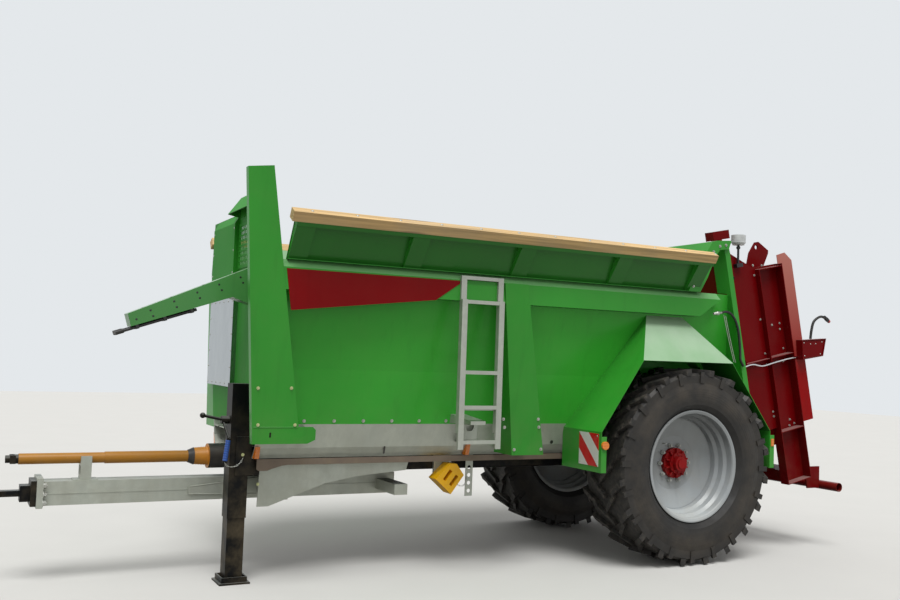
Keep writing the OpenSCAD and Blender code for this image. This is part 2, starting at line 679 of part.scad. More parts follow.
arm_fall = (arm_root_z[0] - arm_tip_z[0]) / (arm_tip_x - 28 - arm_root_x);
hose_drop = hose_d / 2 + 3 + seat;
module arm_hoses() at_axle() color(rubber) {
    lean = atan(arm_fall);
    translate([arm_tip_x + 20, 0, arm_tip_z[0] - 48 * arm_fall - hose_drop / cos(lean)]) rotate([0,
        lean - 90, 0]) {
        for (y = hose_ys) translate([0, y, 0]) {
            cylinder(h = 560, d = hose_d);
            translate([0, 0, -60]) cylinder(h = 60.5, d = hose_d + 10);
        }
        for (k = [90, 300, 510]) block([-hose_d / 2 - 4, arm_y[0], k], [hose_d / 2 + 3, arm_y[1], k + 22]);
    }
}

// Drawbar, tow coupling and power shaft

beam_top_z = beam_low_z + beam_h;
beam_rear_x = 2480;
plate_x = 5385;
plate_t = 45;
gusset_t = 12;
gusset_y = rail_in_y + rail_w + seat + gusset_t;
gusset_top = frame_low_z - cross_h - 2;
gusset_outline = [[3840, gusset_top], [3850, 572], [3760, 572], [3280, 742], [3000, 790], [2560,
    rail_low - 10],
    [2540, gusset_top]];
tie_x = [3660, 2600];
tie_h = 90;
module drawbar() at_axle() color(galvanised) {
    difference() {
        block([beam_rear_x, -beam_w / 2, beam_low_z], [plate_x, beam_w / 2, beam_top_z]);
        block([beam_rear_x - 1, -beam_w / 2 + 10, beam_low_z + 10], [plate_x - 20, beam_w / 2 - 10,
            beam_top_z - 10]);
    }
    both_sides() block([beam_rear_x, beam_w / 2 - 1, beam_low_z + beam_h / 2 - 3], [plate_x, beam_w / 2 + 5,
        beam_low_z + beam_h / 2 + 3]);
    block([plate_x, -150, beam_low_z - 12], [plate_x + plate_t, 150, beam_top_z + 30]);
    for (x = tie_x) block([x - 60, -gusset_y, beam_low_z + 40], [x + 60, gusset_y, beam_low_z + 40 + tie_h]);
    both_sides() along_y(gusset_y - gusset_t, gusset_y) polygon(gusset_outline);
    both_sides() along_y(beam_w / 2 - 1, beam_w / 2 + 9)
        polygon([[3600, beam_low_z + 30], [4300, beam_low_z + 50], [4300, beam_low_z + 110], [3600,
            beam_top_z]]);
}

eye_r = 52;
eye_h = 44;
eye_x = front_reach - eye_r;
eye_z = beam_low_z + beam_h / 2;
module tow_coupling() at_axle() color(black) {
    block([plate_x + plate_t, -120, beam_low_z], [plate_x + plate_t + 40, 120, beam_top_z + 10]);
    difference() {
        union() {
            translate([eye_x, 0, eye_z - eye_h / 2]) cylinder(h = eye_h, r = eye_r);
            block([plate_x + plate_t + 40, -38, eye_z - eye_h / 2], [eye_x - 20, 38, eye_z + eye_h / 2]);
            block([plate_x + plate_t + 39, -60, eye_z - 60], [plate_x + plate_t + 110, 60, eye_z + 60]);
        }
        translate([eye_x, 0, eye_z - eye_h]) cylinder(h = 2 * eye_h, d = tow_bore_d);
    }
}

guard_x = [4300, 5560];
cone_x = [4140, 4300];
cover_x = [rail_front_x + head_t + 30, 4140];
shaft_front_x = 5650;
module along_shaft(x) translate([x, 0, pto_z]) rotate([0, 90, 0]) children();
module pto_shaft() at_axle() color(black) {
    along_shaft(cover_x[0] + seat) cylinder(h = guard_x[1] - cover_x[0] + 5, d = 50);
    // Free yoke with its splined bore
    difference() {
        union() {
            along_shaft(guard_x[1] + seat) cylinder(h = 28, d = 70);
            block([guard_x[1] + 20, -48, pto_z - 32], [guard_x[1] + 60, -30, pto_z + 32]);
            block([guard_x[1] + 20, 30, pto_z - 32], [guard_x[1] + 60, 48, pto_z + 32]);
            block([guard_x[1] + 20, -48, pto_z - 32], [guard_x[1] + 29, 48, pto_z + 32]);
            translate([guard_x[1] + 42, -48, pto_z]) rotate([-90, 0, 0]) cylinder(h = 96, d = 22);
            along_shaft(guard_x[1] + 38) cylinder(h = shaft_front_x - guard_x[1] - 38, d = 58);
        }
        along_shaft(guard_x[1] + 56) cylinder(h = 100, d = 35);
    }
}
module pto_guard() at_axle() color([0.85, 0.58, 0.12]) difference() {
    union() {
        along_shaft(guard_x[0] + 400) cylinder(h = guard_x[1] - guard_x[0] - 400, d = guard_d - 10);
        along_shaft(guard_x[0]) cylinder(h = 640, d = guard_d);
    }
    along_shaft(guard_x[0] - 1) cylinder(h = guard_x[1] - guard_x[0] + 2, d = 51);
}
rings = 5;
module pto_cones() at_axle() color(black) {
    difference() {
        union() {
            along_shaft(cone_x[0] + 2) for (i = [0:rings - 1])
                translate([0, 0, i * 22]) cylinder(h = 22.5, d1 = 152 - i * 3, d2 = 142 - i * 3);
            along_shaft(cone_x[0] + 112) cylinder(h = cone_x[1] - cone_x[0] - 112, d1 = 140,
                d2 = guard_d + 8);
        }
        along_shaft(cone_x[0]) cylinder(h = 170, d = 51);
    }
    difference() {
        along_shaft(cover_x[0] + seat) cylinder(h = cover_x[1] - cover_x[0], d = 200);
        along_shaft(cover_x[0] - 1) cylinder(h = cover_x[1] - cover_x[0] - 6, d = 188);
        along_shaft(cover_x[0]) cylinder(h = 400, d = 51);
    }
}

cradle_x = 5080;
module pto_cradle() at_axle() color(galvanised) {
    block([cradle_x - 90, -70, beam_top_z], [cradle_x + 90, 70, beam_top_z + 6]);
    both_sides() difference() {
        block([cradle_x - 40, 0, beam_top_z + 5], [cradle_x + 40, 64, pto_z + 18]);
        block([cradle_x - 41, 8, beam_top_z + 40], [cradle_x + 41, 56, pto_z - guard_d / 2 - 12]);
        translate([cradle_x - 41, 0, pto_z]) rotate([0, 90, 0]) cylinder(h = 82, d = guard_d + 2 * seat - 10);
        block([cradle_x - 41, -1, pto_z], [cradle_x + 41, guard_d / 2 + seat - 5, pto_z + 60]);
    }
}

line_z = 792;
line_d = 50;
line_front_x = 3380;
line_rear_x = -1010;
yoke_x = rail_front_x - 106;
module drive_line() at_axle() color(black) {
    along_shaft(yoke_x) cylinder(h = 46 - seat, d = 64);
    translate([yoke_x, 0, pto_z]) sphere(d = 84);
    rod([yoke_x, 0, pto_z], [line_front_x, 0, line_z], line_d);
    translate([line_front_x, 0, line_z]) sphere(d = 62);
    rod([line_front_x, 0, line_z], [line_rear_x, 0, line_z], line_d);
    translate([line_rear_x, 0, line_z]) sphere(d = 62);
    rod([line_rear_x, 0, line_z], leant(input_x + 30, input_z), line_d);
    leaning() translate([input_x + seat, 0, input_z]) rotate([0, 90, 0]) cylinder(h = 56, d = 66);
}

// Parking jack

jack_x = frame_front_x + 20 + jack_s / 2;
jack_y = 480;
sleeve_t = 6;
leg_s = jack_s - 2 * sleeve_t - 2 * jack_gap;
foot_s = 240;
foot_t = 14;
leg_top_z = jack_low_z + 540;
module square_tube(s, t, z0, z1) difference() {
    block([-s / 2, -s / 2, z0], [s / 2, s / 2, z1]);
    block([-s / 2 + t, -s / 2 + t, z0 - 1], [s / 2 - t, s / 2 - t, z1 + 1]);
}
module jack_sleeve() at_axle() color(black) {
    translate([jack_x, jack_y, 0]) {
        square_tube(jack_s, sleeve_t, jack_low_z, jack_top_z);
        block([-jack_s / 2, -jack_s / 2, jack_top_z - 1], [jack_s / 2, jack_s / 2, jack_top_z + 10]);
    }
    // Bracket plates back to the headstock
    for (y = [jack_y - jack_s / 2 - 12, jack_y + jack_s / 2])
        block([rail_front_x + head_t, y, head_low_z], [jack_x + 30, y + 12, head_low_z + 300]);
    block([frame_front_x + seat, jack_y - jack_s / 2 - 1, head_low_z], [frame_front_x + 21,
        jack_y + jack_s / 2 + 1, head_low_z + 300]);
}
module jack_leg() at_axle() color(black) translate([jack_x, jack_y, 0]) {
    square_tube(leg_s, 7, foot_t - 1, leg_top_z);
    block([-foot_s / 2, -foot_s / 2, 0], [foot_s / 2, foot_s / 2, foot_t]);
    difference() {
        block([-foot_s / 2 + 20, -foot_s / 2 + 20, foot_t - 1], [foot_s / 2 - 20, foot_s / 2 - 20,
            foot_t + 40]);
        block([-foot_s / 2 + 30, -foot_s / 2 + 30, foot_t], [foot_s / 2 - 30, foot_s / 2 - 30, foot_t + 50]);
    }
    block([-leg_s / 2, -leg_s / 2, foot_t - 1], [leg_s / 2, leg_s / 2, foot_t + 60]);
}
crank_z = 1255;
module jack_crank() at_axle() color(black) {
    face_x = jack_x + jack_s / 2;
    translate([face_x, jack_y, crank_z]) rotate([0, 90, 0]) cylinder(h = 60, d = 62);
    rod([face_x + 40, jack_y, crank_z], [face_x + 205, jack_y, crank_z + 34], 24);
    translate([face_x + 205, jack_y, crank_z + 34]) sphere(d = 44);
    rod([face_x + 50, jack_y + 4, crank_z], [face_x + 20, jack_y + 96, 1120], 18);
    rod([face_x + 20, jack_y + 96, 1120], [face_x + 42, jack_y + 96, 935], 30);
}

// Ladder hung upright on the left top rail

ladder_x = [1995, 1995 + ladder_w];
ladder_y = rail_out_y + seat;
lower_y = ladder_y + stile_t + seat;
ladder_top = rail_top_z - 25;
upper_low = 1190;
lower_top = rail_low_z + 10;
lower_low = 1060;
rung_d = 30;
module stiles(y, low, top) for (x = [ladder_x[0], ladder_x[1] - stile_w])
    block([x, y, low], [x + stile_w, y + stile_t, top]);
module rung(y, z) block([ladder_x[0] + stile_w - 1, y + 1, z - rung_d / 2], [ladder_x[1] - stile_w + 1,
    y + stile_t - 1, z + rung_d / 2]);
module ladder_upper() at_axle() color(galvanised) {
    stiles(ladder_y, upper_low, ladder_top);
    for (z = [ladder_top - rung_d / 2, 1685, 1390]) rung(ladder_y, z);
    // Bracket between the ladder's lower end and the wall
    along_x(ladder_x[0] + 120, ladder_x[0] + 260) polygon([[wall_y(1245) + seat, 1245], [ladder_y + 2, 1255],
        [ladder_y + 2, 1285], [wall_y(1320) + seat, 1320]]);
}
module ladder_lower() at_axle() color(galvanised) {
    stiles(lower_y, lower_low, lower_top);
    for (z = [lower_top - 18, 1685, 1400, 1118]) rung(lower_y, z);
}

// Mudguards: corner points of the folded sheet on the left side

guard_out_y = 1250;
guard_in_z = rail_low_z - 4;
guard_top_z = 1835;
guard_low_z = 1205;
fold_z = 1450;
guard_fx = [1070, 630, 340];
guard_rx = [-920, -430, -70];
function guard_fold_x(g) = g[0] + (g[1] - g[0]) * (fold_z - guard_low_z) / (guard_top_z - guard_low_z);
function guard_sheets(g) = [
    [[g[0], wall_y(guard_low_z) - 12, guard_low_z], [g[0], guard_out_y, guard_low_z], [g[1], guard_out_y,
        guard_top_z],
        [guard_fold_x(g), wall_y(fold_z) - 12, fold_z]],
    [[guard_fold_x(g), wall_y(fold_z) - 12, fold_z], [g[1], guard_out_y, guard_top_z], [g[2],
        wall_y(guard_in_z) - 12, guard_in_z]]];
function flipped(p) = [for (i = [len(p) - 1:-1:0]) p[i]];
module mudguard(side) at_axle() color(green) on_side(side) difference() {
    union() {
        for (p = guard_sheets(guard_fx)) sheet(p, guard_t);
        for (p = guard_sheets(guard_rx)) sheet(flipped(p), guard_t);
        sheet([[guard_fx[1], guard_out_y, guard_top_z], [guard_rx[1], guard_out_y, guard_top_z],
            [guard_rx[2], wall_y(guard_in_z) - 12, guard_in_z], [guard_fx[2], wall_y(guard_in_z) - 12,
                guard_in_z]], guard_t);
        for (x = [guard_fx[0] - guard_t, guard_rx[0]])
            block([x, wall_y(guard_low_z) - 12, guard_low_z - end_plate_h], [x + guard_t, guard_out_y,
                guard_low_z]);
        // Edges turned over to carry the lamps
        for (x = [guard_fx[0] - 56, guard_rx[0] - 52])
            block([x, guard_out_y - guard_t, guard_low_z - end_plate_h], [x + 56, guard_out_y,
                guard_low_z - 40]);
    }
    leaning() block([-600, 0, -600], [-body_end + seat, guide_out_y + seat, 2600]);
    along_x(-1200, 1200) polygon([[0, 800], [wall_y(800) + seat, 800], [wall_y(rail_low_z) + seat,
        rail_low_z], [0, rail_low_z]]);
}

warning_s = 282;
warning_y = 930;
module warning_plates() at_axle() color([0.85, 0.85, 0.82]) both_sides()
    block([guard_fx[0], warning_y, guard_low_z - 18 - warning_s], [guard_fx[0] + 4, warning_y + warning_s,
        guard_low_z - 18]);

module marker_lamps() at_axle() color(amber) {
    both_sides() {
        translate([guard_fx[0] - 34, guard_out_y, 1090]) rotate([-90, 0, 0]) cylinder(h = 20, d = 70);
        block([guard_rx[0] - 42, guard_out_y, 1060], [guard_rx[0] - 8, guard_out_y + 8, 1130]);
    }
    both_sides() for (x = [[frame_front_x - 38, frame_front_x - 2], [2030, 2066]]) along_x(x[0], x[1])
        polygon([[wall_y(frame_low_z) - 41, frame_low_z + 4], [wall_y(frame_low_z) + 22, frame_low_z + 4],
            [wall_y(lip_z + 12) + 22, lip_z + 12], [wall_y(lip_z + 12) + seat, lip_z + 12],
            [wall_y(lip_z) + seat, lip_z]]);
}

// Wheel chocks below the left frame

chock_y = [510, 650];
chock_outline = [[2348, 765], [2208, 890], [2149, 889], [2076, 792], [2198, 633]];
holder_in_y = rail_in_y + rail_w + seat;
strap_x = [1949, 2021];
strap_low_z = 600;
strap_holes = 4;
module wheel_chocks() at_axle() color([0.95, 0.70, 0.02]) difference() {
    along_y(chock_y[0], chock_y[1]) polygon(chock_outline);
    for (k = [-1, 1]) translate([2203, 0, 771]) rotate([0, -38, 0])
        translate([k * 38 - 16, chock_y[0] - 1, -52]) cube([32, chock_y[1] - chock_y[0] + 2, 104]);
}
module chock_holders() at_axle() color(galvanised) {
    block([2130, holder_in_y, 735], [2300, chock_y[0] - seat, frame_low_z - 10]);
    difference() {
        block([strap_x[0], 570, strap_low_z], [strap_x[1], 575, frame_low_z - seat]);
        for (i = [0:strap_holes - 1]) translate([(strap_x[0] + strap_x[1]) / 2, 560,
            strap_low_z + 45 + i * 68])
            rotate([-90, 0, 0]) cylinder(h = 30, d = 34, $fn = 24);
    }
}

// Rear end: upright frame with the gate's guides, in the leaning frame

arch_out = [[-45, rail_top_z], [-245, rail_top_z + 358], [-330, rail_top_z + 492], [-400, rail_top_z + 508],
    [-574, rail_top_z + 522]];
arch_in = [[-540, rail_top_z + 435], [-426, rail_top_z + 420], [-364, rail_top_z + 337], [-281,
    rail_top_z + 149],
    [-190, rail_top_z]];
arch_y = [1029, 1055];
guide_in_y = 985;
guide_out_y = 1030;
frame_plate_t = 12;
guide_depth = gate_t + 2 * gate_gap + 8;
rear_low = floor_z - datum_z;
rear_foot = -20;
rear_top = 1985;
plate_x0 = -body_end - frame_plate_t;
plate_in_y = 850;
module rear_frame() at_axle() color(green) {
    both_sides() {
        // Face plate between the leaning wall and the upright guide
        leaning() {
            translate([plate_x0, 0, 0]) rotate([90, 0, 90]) linear_extrude(frame_plate_t - seat) polygon([
                [wall_y(datum_z) - 40, rear_foot], [guide_out_y, rear_foot], [guide_out_y, rear_top],
                [plate_in_y, rear_top], [plate_in_y, 1545], [wall_y(rail_top_z) - 10, 1533],
                [wall_y(datum_z) - 40, 0]]);
            // Guide channel for the gate's edge
            block([plate_x0 - guide_depth, guide_out_y - 8, rear_foot], [plate_x0 + 1, guide_out_y,
                rear_top]);
            block([plate_x0 - guide_depth, guide_in_y - 45, rear_foot], [plate_x0 - guide_depth + 8,
                guide_out_y, rear_top]);
        }
        along_y(arch_y[0], arch_y[1]) polygon(concat(arch_out, arch_in));
    }
    // Cross beam ahead of the gate
    along_y(-arch_y[0] - 1, arch_y[0] + 1) polygon([arch_out[1], arch_out[2], arch_out[3],
        arch_out[3] - [40, 103], arch_in[2]]);
    leaning() block([plate_x0, -wall_y(datum_z) + 30, rear_foot], [-body_end - seat, wall_y(datum_z) - 30,
        40]);
}

gate_half = guide_out_y - 8 - gate_gap;
gate_x = plate_x0 - gate_gap - gate_t;
gate_foot = rear_low + 6;
module gate() at_axle() color(dark_red) leaning() {
    block([gate_x + gate_t - 6, -gate_half, gate_foot], [gate_x + gate_t, gate_half, gate_foot + gate_h]);
    for (z = [0, 0.25, 0.5, 0.75]) block([gate_x, -guide_in_y + 60, gate_foot + z * gate_h],
        [gate_x + gate_t - 5, guide_in_y - 60, gate_foot + z * gate_h + 40]);
    block([gate_x, -gate_half, gate_foot + gate_h - 60], [gate_x + gate_t - 5, gate_half,
        gate_foot + gate_h]);
    both_sides() block([gate_x, gate_half - 40, gate_foot], [gate_x + gate_t - 5, gate_half,
        gate_foot + gate_h]);
    // Lift lug over each cylinder
    both_sides() {
        block([gate_x, cylinder_y - 45, gate_foot + gate_h - 1], [gate_x + gate_t, cylinder_y + 65,
            lug_low + 1]);
        block([-205, cylinder_y - 45, lug_low], [5, cylinder_y + 65, lug_low + 85]);
    }
}

lug_low = 2064;
cylinder_y = unit_y - 55;
cylinder_x = -138;
barrel_d = 60;
rod_d = 32;
barrel_low = 420;
barrel_top = 1740;
module gate_barrels() at_axle() color(black) leaning() both_sides() {
    translate([cylinder_x, cylinder_y, barrel_low]) difference() {
        cylinder(h = barrel_top - barrel_low, d = barrel_d);
        translate([0, 0, 60]) cylinder(h = barrel_top, d = rod_d + 1);
    }
    // Feet and upper stays on the guide channels
    block([cylinder_x - 25, cylinder_y - 25, barrel_low - 30], [mount_x - seat, cylinder_y + 28,
        barrel_low + 1]);
    for (z = [barrel_low - 30, barrel_top - 80])
        block([unit_front + side_t + 1, cylinder_y + 20, z], [mount_x - seat, unit_y + 60, z + 30]);
}
module gate_rods() at_axle() color(silver) leaning() both_sides()
    translate([cylinder_x, cylinder_y, barrel_low + 62]) cylinder(h = lug_low - barrel_low - 62 - seat,
        d = rod_d);

// Spreading unit, in the leaning frame

unit_front = -152;
edge_2 = -490;
edge_3 = -800;
flap_rear = -945;
unit_top_z = 1934;
panel_top_z = 1713;
panel_low_z = 110;
unit_foot = -467;
side_t = 6;
post_web_y = unit_y - 40;
post_out_y = unit_y + 60;
mount_x = plate_x0 - guide_depth;
module unit_sides() at_axle() color(dark_red) leaning() both_sides() {
    // Front panel with its rolled front edge
    along_y(unit_y, unit_y + side_t) polygon([[unit_front, panel_low_z], [unit_front, unit_top_z], [edge_2,
        panel_top_z], [edge_2, panel_low_z]]);
    block([unit_front, unit_y - 20, panel_low_z], [unit_front + side_t, unit_y + 40, unit_top_z]);
    // Upright channel open outwards
    block([edge_2, post_web_y, unit_foot], [edge_2 + 8, post_out_y, panel_top_z]);
    block([edge_3, post_web_y, unit_foot], [edge_2 + 1, post_web_y + 8, panel_top_z + 20]);
    block([edge_3 - 8, post_web_y, unit_foot], [edge_3, post_out_y, panel_top_z + 20]);
    for (z = [unit_foot, 60, 815, panel_top_z - 8]) block([edge_3 - 1, post_web_y + 1, z], [edge_2 + 1,
        post_out_y, z + 8]);
    // Hooks that hang the unit on the body's rear frame
    for (z = [200, 1500]) block([unit_front + side_t - 1, unit_y - 10, z], [mount_x - seat, unit_y + 40,
        z + 120]);
}

hood_t = 5;
hood_x = unit_front - side_t - 8;
top_beam_z = [panel_top_z - 110, panel_top_z - 8];
module unit_top() at_axle() color(dark_red) leaning() {
    along_y(-unit_y + seat, unit_y - seat) polygon([[hood_x, unit_top_z - 9], [hood_x, unit_top_z - 60],
        [hood_x - hood_t, unit_top_z - 60], [hood_x - hood_t, unit_top_z - hood_t - 17],
        [edge_2 + 30, panel_top_z + 6], [edge_2 + 30, panel_top_z + 12]]);
    block([edge_3 + 40, -post_web_y + seat, top_beam_z[0]], [edge_2 - 20, post_web_y - seat, top_beam_z[1]]);
    block([edge_2 - 21, -post_web_y + seat, top_beam_z[1] - 8], [edge_2 + 40, post_web_y - seat,
        top_beam_z[1] + 19]);
    // Lifting ears
    both_sides() along_y(post_web_y - 130, post_web_y - 112) difference() {
        polygon([[edge_3 + 44, top_beam_z[1] - 1], [edge_2 - 30, top_beam_z[1] - 1], [edge_2 - 110, 1880],
            [-700, 1977], [-746, 1977], [-866, 1872], [-858, 1840]]);
        translate([-706, 1925]) circle(d = 44);
    }
}

beater_x = (edge_2 + edge_3) / 2;
gearbox_s = 220;
tray_z = [unit_foot, unit_foot + 110];
gearbox_top = -170;
input_x = beater_x + 420;
input_z = (tray_z[1] + gearbox_top) / 2 - 20;
module unit_base() at_axle() color(dark_red) leaning() {
    block([beater_x - 80, -post_web_y + seat, tray_z[0]], [beater_x + 80, post_web_y - seat, tray_z[1]]);
    for (y = [-beater_y, 0, beater_y]) {
        block([beater_x - gearbox_s / 2, y - gearbox_s / 2, tray_z[1] - 1], [beater_x + gearbox_s / 2,
            y + gearbox_s / 2, gearbox_top - 40]);
        if (y != 0) translate([beater_x, y, gearbox_top - 41]) cylinder(h = 41, d = 150);
    }
    rotate([90, 0, 0]) translate([beater_x, input_z, -beater_y]) cylinder(h = 2 * beater_y, d = 70);
    // Input towards the drive line
    translate([beater_x, 0, input_z]) rotate([0, 90, 0]) cylinder(h = input_x - beater_x, d = 90);
    both_sides() block([edge_2 + 8 + seat, unit_y - 60, -60], [unit_front, unit_y - 40, panel_low_z + 40]);
    both_sides() block([edge_2 + 8 + seat, 866, -60], [edge_2 + 170, unit_y - 59, 40]);
}

// Side flap behind the channel, with an ear over the channel's top
flap_z = [112, 1746, 1834];
module unit_flaps() at_axle() color([0.62, 0.16, 0.16]) leaning() both_sides() {
    flap_x = edge_3 - 8 - seat;
    along_y(post_out_y - 6, post_out_y) polygon([[flap_x, flap_z[0]], [flap_rear, flap_z[0]], [flap_rear,
        flap_z[1]],
        [-862, flap_z[2]], [-749, flap_z[2] - 11], [-749, panel_top_z + 20 + seat], [flap_x,
            panel_top_z + 20 + seat]]);
    block([flap_x - 6, post_out_y - 60, flap_z[0]], [flap_x, post_out_y - 5, panel_top_z]);
}

// Beater: tube with a rising flight, knives on its rim and a spreading disc with paddles below
tube_low = -88;
tube_top = top_beam_z[0] - 20;
flight_low = 20;
flight_t = 14;
flight_w = 46;
knife_count = 12;
module flight() translate([0, 0, flight_low])
    linear_extrude(height = tube_top - 60 - flight_low, twist = -360 * flight_turns,
        slices = ceil(20 * flight_turns))
        polygon([[0, -flight_t * 2], [beater_r - 46, -flight_w], [beater_r - 30, 0], [beater_r - 46,
            flight_w], [0, flight_t * 2]]);
module beater(side) at_axle() color(dark_red) leaning() on_side(side) translate([beater_x, beater_y, 0]) {
    translate([0, 0, tube_low]) cylinder(h = tube_top - tube_low, d = beater_tube_d);
    translate([0, 0, gearbox_top + seat]) cylinder(h = tube_low - gearbox_top + 1, d = 90);
    translate([0, 0, tube_top - 1]) cylinder(h = top_beam_z[0] - tube_top + 1 - seat, d = 60);
    flight();
    for (i = [0:knife_count - 1]) {
        z = flight_low + 60 + (tube_top - flight_low - 180) * i / (knife_count - 1);
        turn = 360 * flight_turns * (z - flight_low) / (tube_top - 60 - flight_low);
        translate([0, 0, z]) rotate([0, 0, turn]) block([beater_r - 80, -45, -7], [beater_r, 45, 7]);
    }
    translate([0, 0, tube_low + 10]) cylinder(h = 8, r = disc_r);
    for (a = [0:60:300]) rotate([0, 0, a]) block([beater_tube_d / 2 - 10, -4, tube_low + 17], [disc_r - 10,
        4, tube_low + 80]);
}

// Rear guard bar, beacon and lamps

bar_z = 620;
bar_half = 1150;
bar_x = -rear_reach + bar_d / 2;
module rear_bar() at_axle() color(dark_red) {
    difference() {
        translate([bar_x, -bar_half, bar_z]) rotate([-90, 0, 0]) cylinder(h = 2 * bar_half, d = bar_d);
        translate([bar_x, -bar_half - 1, bar_z]) rotate([-90, 0, 0]) cylinder(h = 2 * bar_half + 2,
            d = bar_d - 10);
    }
    both_sides() difference() {
        block([bar_x + bar_d / 2 - 4, post_web_y + 10, bar_z - 30], [-1550, post_web_y + 26, bar_z + 190]);
        leaning() block([edge_3 - 8 - seat, 0, -900], [900, 2000, 900]);
    }
}

beacon_x = -735;
beacon_y = unit_y + side_t + 24;
module beacon() at_axle() {
    color(silver) {
        translate([beacon_x, beacon_y, 3018]) cylinder(h = 78, d = 140);
        translate([beacon_x, beacon_y, 3000]) cylinder(h = 19, d = 116);
        translate([beacon_x, beacon_y, 2808]) cylinder(h = 193, d = 22);
    }
    color(black) translate([beacon_x, beacon_y, 2974]) sphere(d = 40);
    color(dark_red) leaning() block([-286, unit_y + side_t + seat, 1770], [-206, beacon_y + 24, 1806]);
}

// Rear lamp box on each flap, open outwards
box_outline = [[-854, 940], [-1196, 896], [-1119, 728], [-830, 743]];
module lamp_arms() at_axle() color(dark_red) both_sides() leaning() difference() {
    along_y(post_out_y + seat, post_out_y + 80) polygon(box_outline);
    along_y(post_out_y + 7, post_out_y + 81) offset(delta = -6) polygon(box_outline);
}

chassis_frame();
side_frames();
floor_plate();
scraper_chains();
scraper_shafts();
wall(left);  // side_wall_left
wall(right);  // side_wall_right
top_rails();
side_posts();
wedge_panels();
wall_extensions();
top_boards();
front_columns();
front_wall();
window_grille();
window_hood();
front_cover();
polished_panel();
hose_arm();
arm_hoses();
drawbar();
tow_coupling();
pto_shaft();
pto_guard();
pto_cones();
pto_cradle();
drive_line();
jack_sleeve();
jack_leg();
jack_crank();
ladder_upper();
ladder_lower();
mudguard(left);  // mudguard_left
mudguard(right);  // mudguard_right
warning_plates();
marker_lamps();
axle_beam();
brake_drums();
tyre(left);  // tyre_left
rim(left);  // rim_left
hub(left);  // hub_left
tyre(right);  // tyre_right
rim(right);  // rim_right
hub(right);  // hub_right
wheel_chocks();
chock_holders();
rear_frame();
gate();
gate_barrels();
gate_rods();
unit_sides();
unit_top();
unit_base();
unit_flaps();
beater(left);  // beater_left
beater(right);  // beater_right
rear_bar();
beacon();
lamp_arms();
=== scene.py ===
import math

import bmesh
import bpy
from mathutils import Matrix, Vector


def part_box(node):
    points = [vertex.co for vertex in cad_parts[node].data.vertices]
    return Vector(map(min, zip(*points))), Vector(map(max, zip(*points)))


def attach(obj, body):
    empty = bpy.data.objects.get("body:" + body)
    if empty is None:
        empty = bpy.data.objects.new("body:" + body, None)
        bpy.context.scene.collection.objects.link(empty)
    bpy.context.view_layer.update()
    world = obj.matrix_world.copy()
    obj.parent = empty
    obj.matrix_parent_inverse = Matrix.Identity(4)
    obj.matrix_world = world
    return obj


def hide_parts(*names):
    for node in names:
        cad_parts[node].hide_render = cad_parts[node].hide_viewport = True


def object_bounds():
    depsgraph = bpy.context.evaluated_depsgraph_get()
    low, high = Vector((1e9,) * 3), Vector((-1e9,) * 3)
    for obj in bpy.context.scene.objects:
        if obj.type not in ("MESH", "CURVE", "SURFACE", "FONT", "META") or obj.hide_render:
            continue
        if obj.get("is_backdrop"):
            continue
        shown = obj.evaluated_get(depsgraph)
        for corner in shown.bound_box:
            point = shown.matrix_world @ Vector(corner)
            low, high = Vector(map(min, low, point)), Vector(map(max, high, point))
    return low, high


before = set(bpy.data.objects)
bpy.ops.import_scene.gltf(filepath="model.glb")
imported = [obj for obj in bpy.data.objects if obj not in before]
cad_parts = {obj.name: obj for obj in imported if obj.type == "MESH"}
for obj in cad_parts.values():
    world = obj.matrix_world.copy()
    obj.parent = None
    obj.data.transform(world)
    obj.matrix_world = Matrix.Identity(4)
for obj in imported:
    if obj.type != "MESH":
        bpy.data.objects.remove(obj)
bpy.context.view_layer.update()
print("frame loaded:", len(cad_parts), "nodes")


# places that the pieces below share: the axle's, read from the frame, and the body's, given
def boxMiddle(node):
    low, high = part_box(node)
    return (low + high) / 2


axleX = boxMiddle("axle_beam").x
axleZ = boxMiddle("tyre_left").z
sides = {"left": 1, "right": -1}
body = {
    "datumZ": 1.0,          # height at which the wall's and the post's feet are measured
    "wallFootY": 0.630, "wallLean": math.radians(13.4),
    "postFootY": 0.930, "postSlope": 0.107,
    "rearX": -0.870, "rearLean": math.radians(12),
    "railTopZ": 2.500, "extensionLean": math.radians(30), "extensionGap": 0.002,
}


def atAxle(x, y, z):
    return Vector((axleX + x, y, z))


def wallY(z):
    return body["wallFootY"] + (z - body["datumZ"]) * math.tan(body["wallLean"])


def wallFacing(side):
    return Vector((0, side * math.cos(body["wallLean"]), -math.sin(body["wallLean"])))


def postY(z):
    return body["postFootY"] + (z - body["datumZ"]) * body["postSlope"]


def postFacing(side):
    return Vector((0, side, -body["postSlope"])).normalized()


def leaning(x, y, z):
    c, s = math.cos(body["rearLean"]), math.sin(body["rearLean"])
    return Vector((axleX + body["rearX"] + x * c + z * s, y, body["datumZ"] - x * s + z * c))


def onExtension(x, y, z, side=1):
    c, s = math.cos(body["extensionLean"]), math.sin(body["extensionLean"])
    foot = wallY(body["railTopZ"]) + body["extensionGap"]
    return Vector((axleX + x, side * (foot + y * c + z * s), body["railTopZ"] + z * c - y * s))


def linear(code):
    parts = [int(code[i:i + 2], 16) / 255 for i in (1, 3, 5)]
    return tuple(p / 12.92 if p <= 0.04045 else ((p + 0.055) / 1.055) ** 2.4 for p in parts) + (1.0,)


def tinted(colour, factor):
    return tuple(min(1.0, c * factor) for c in colour[:3]) + (1.0,)


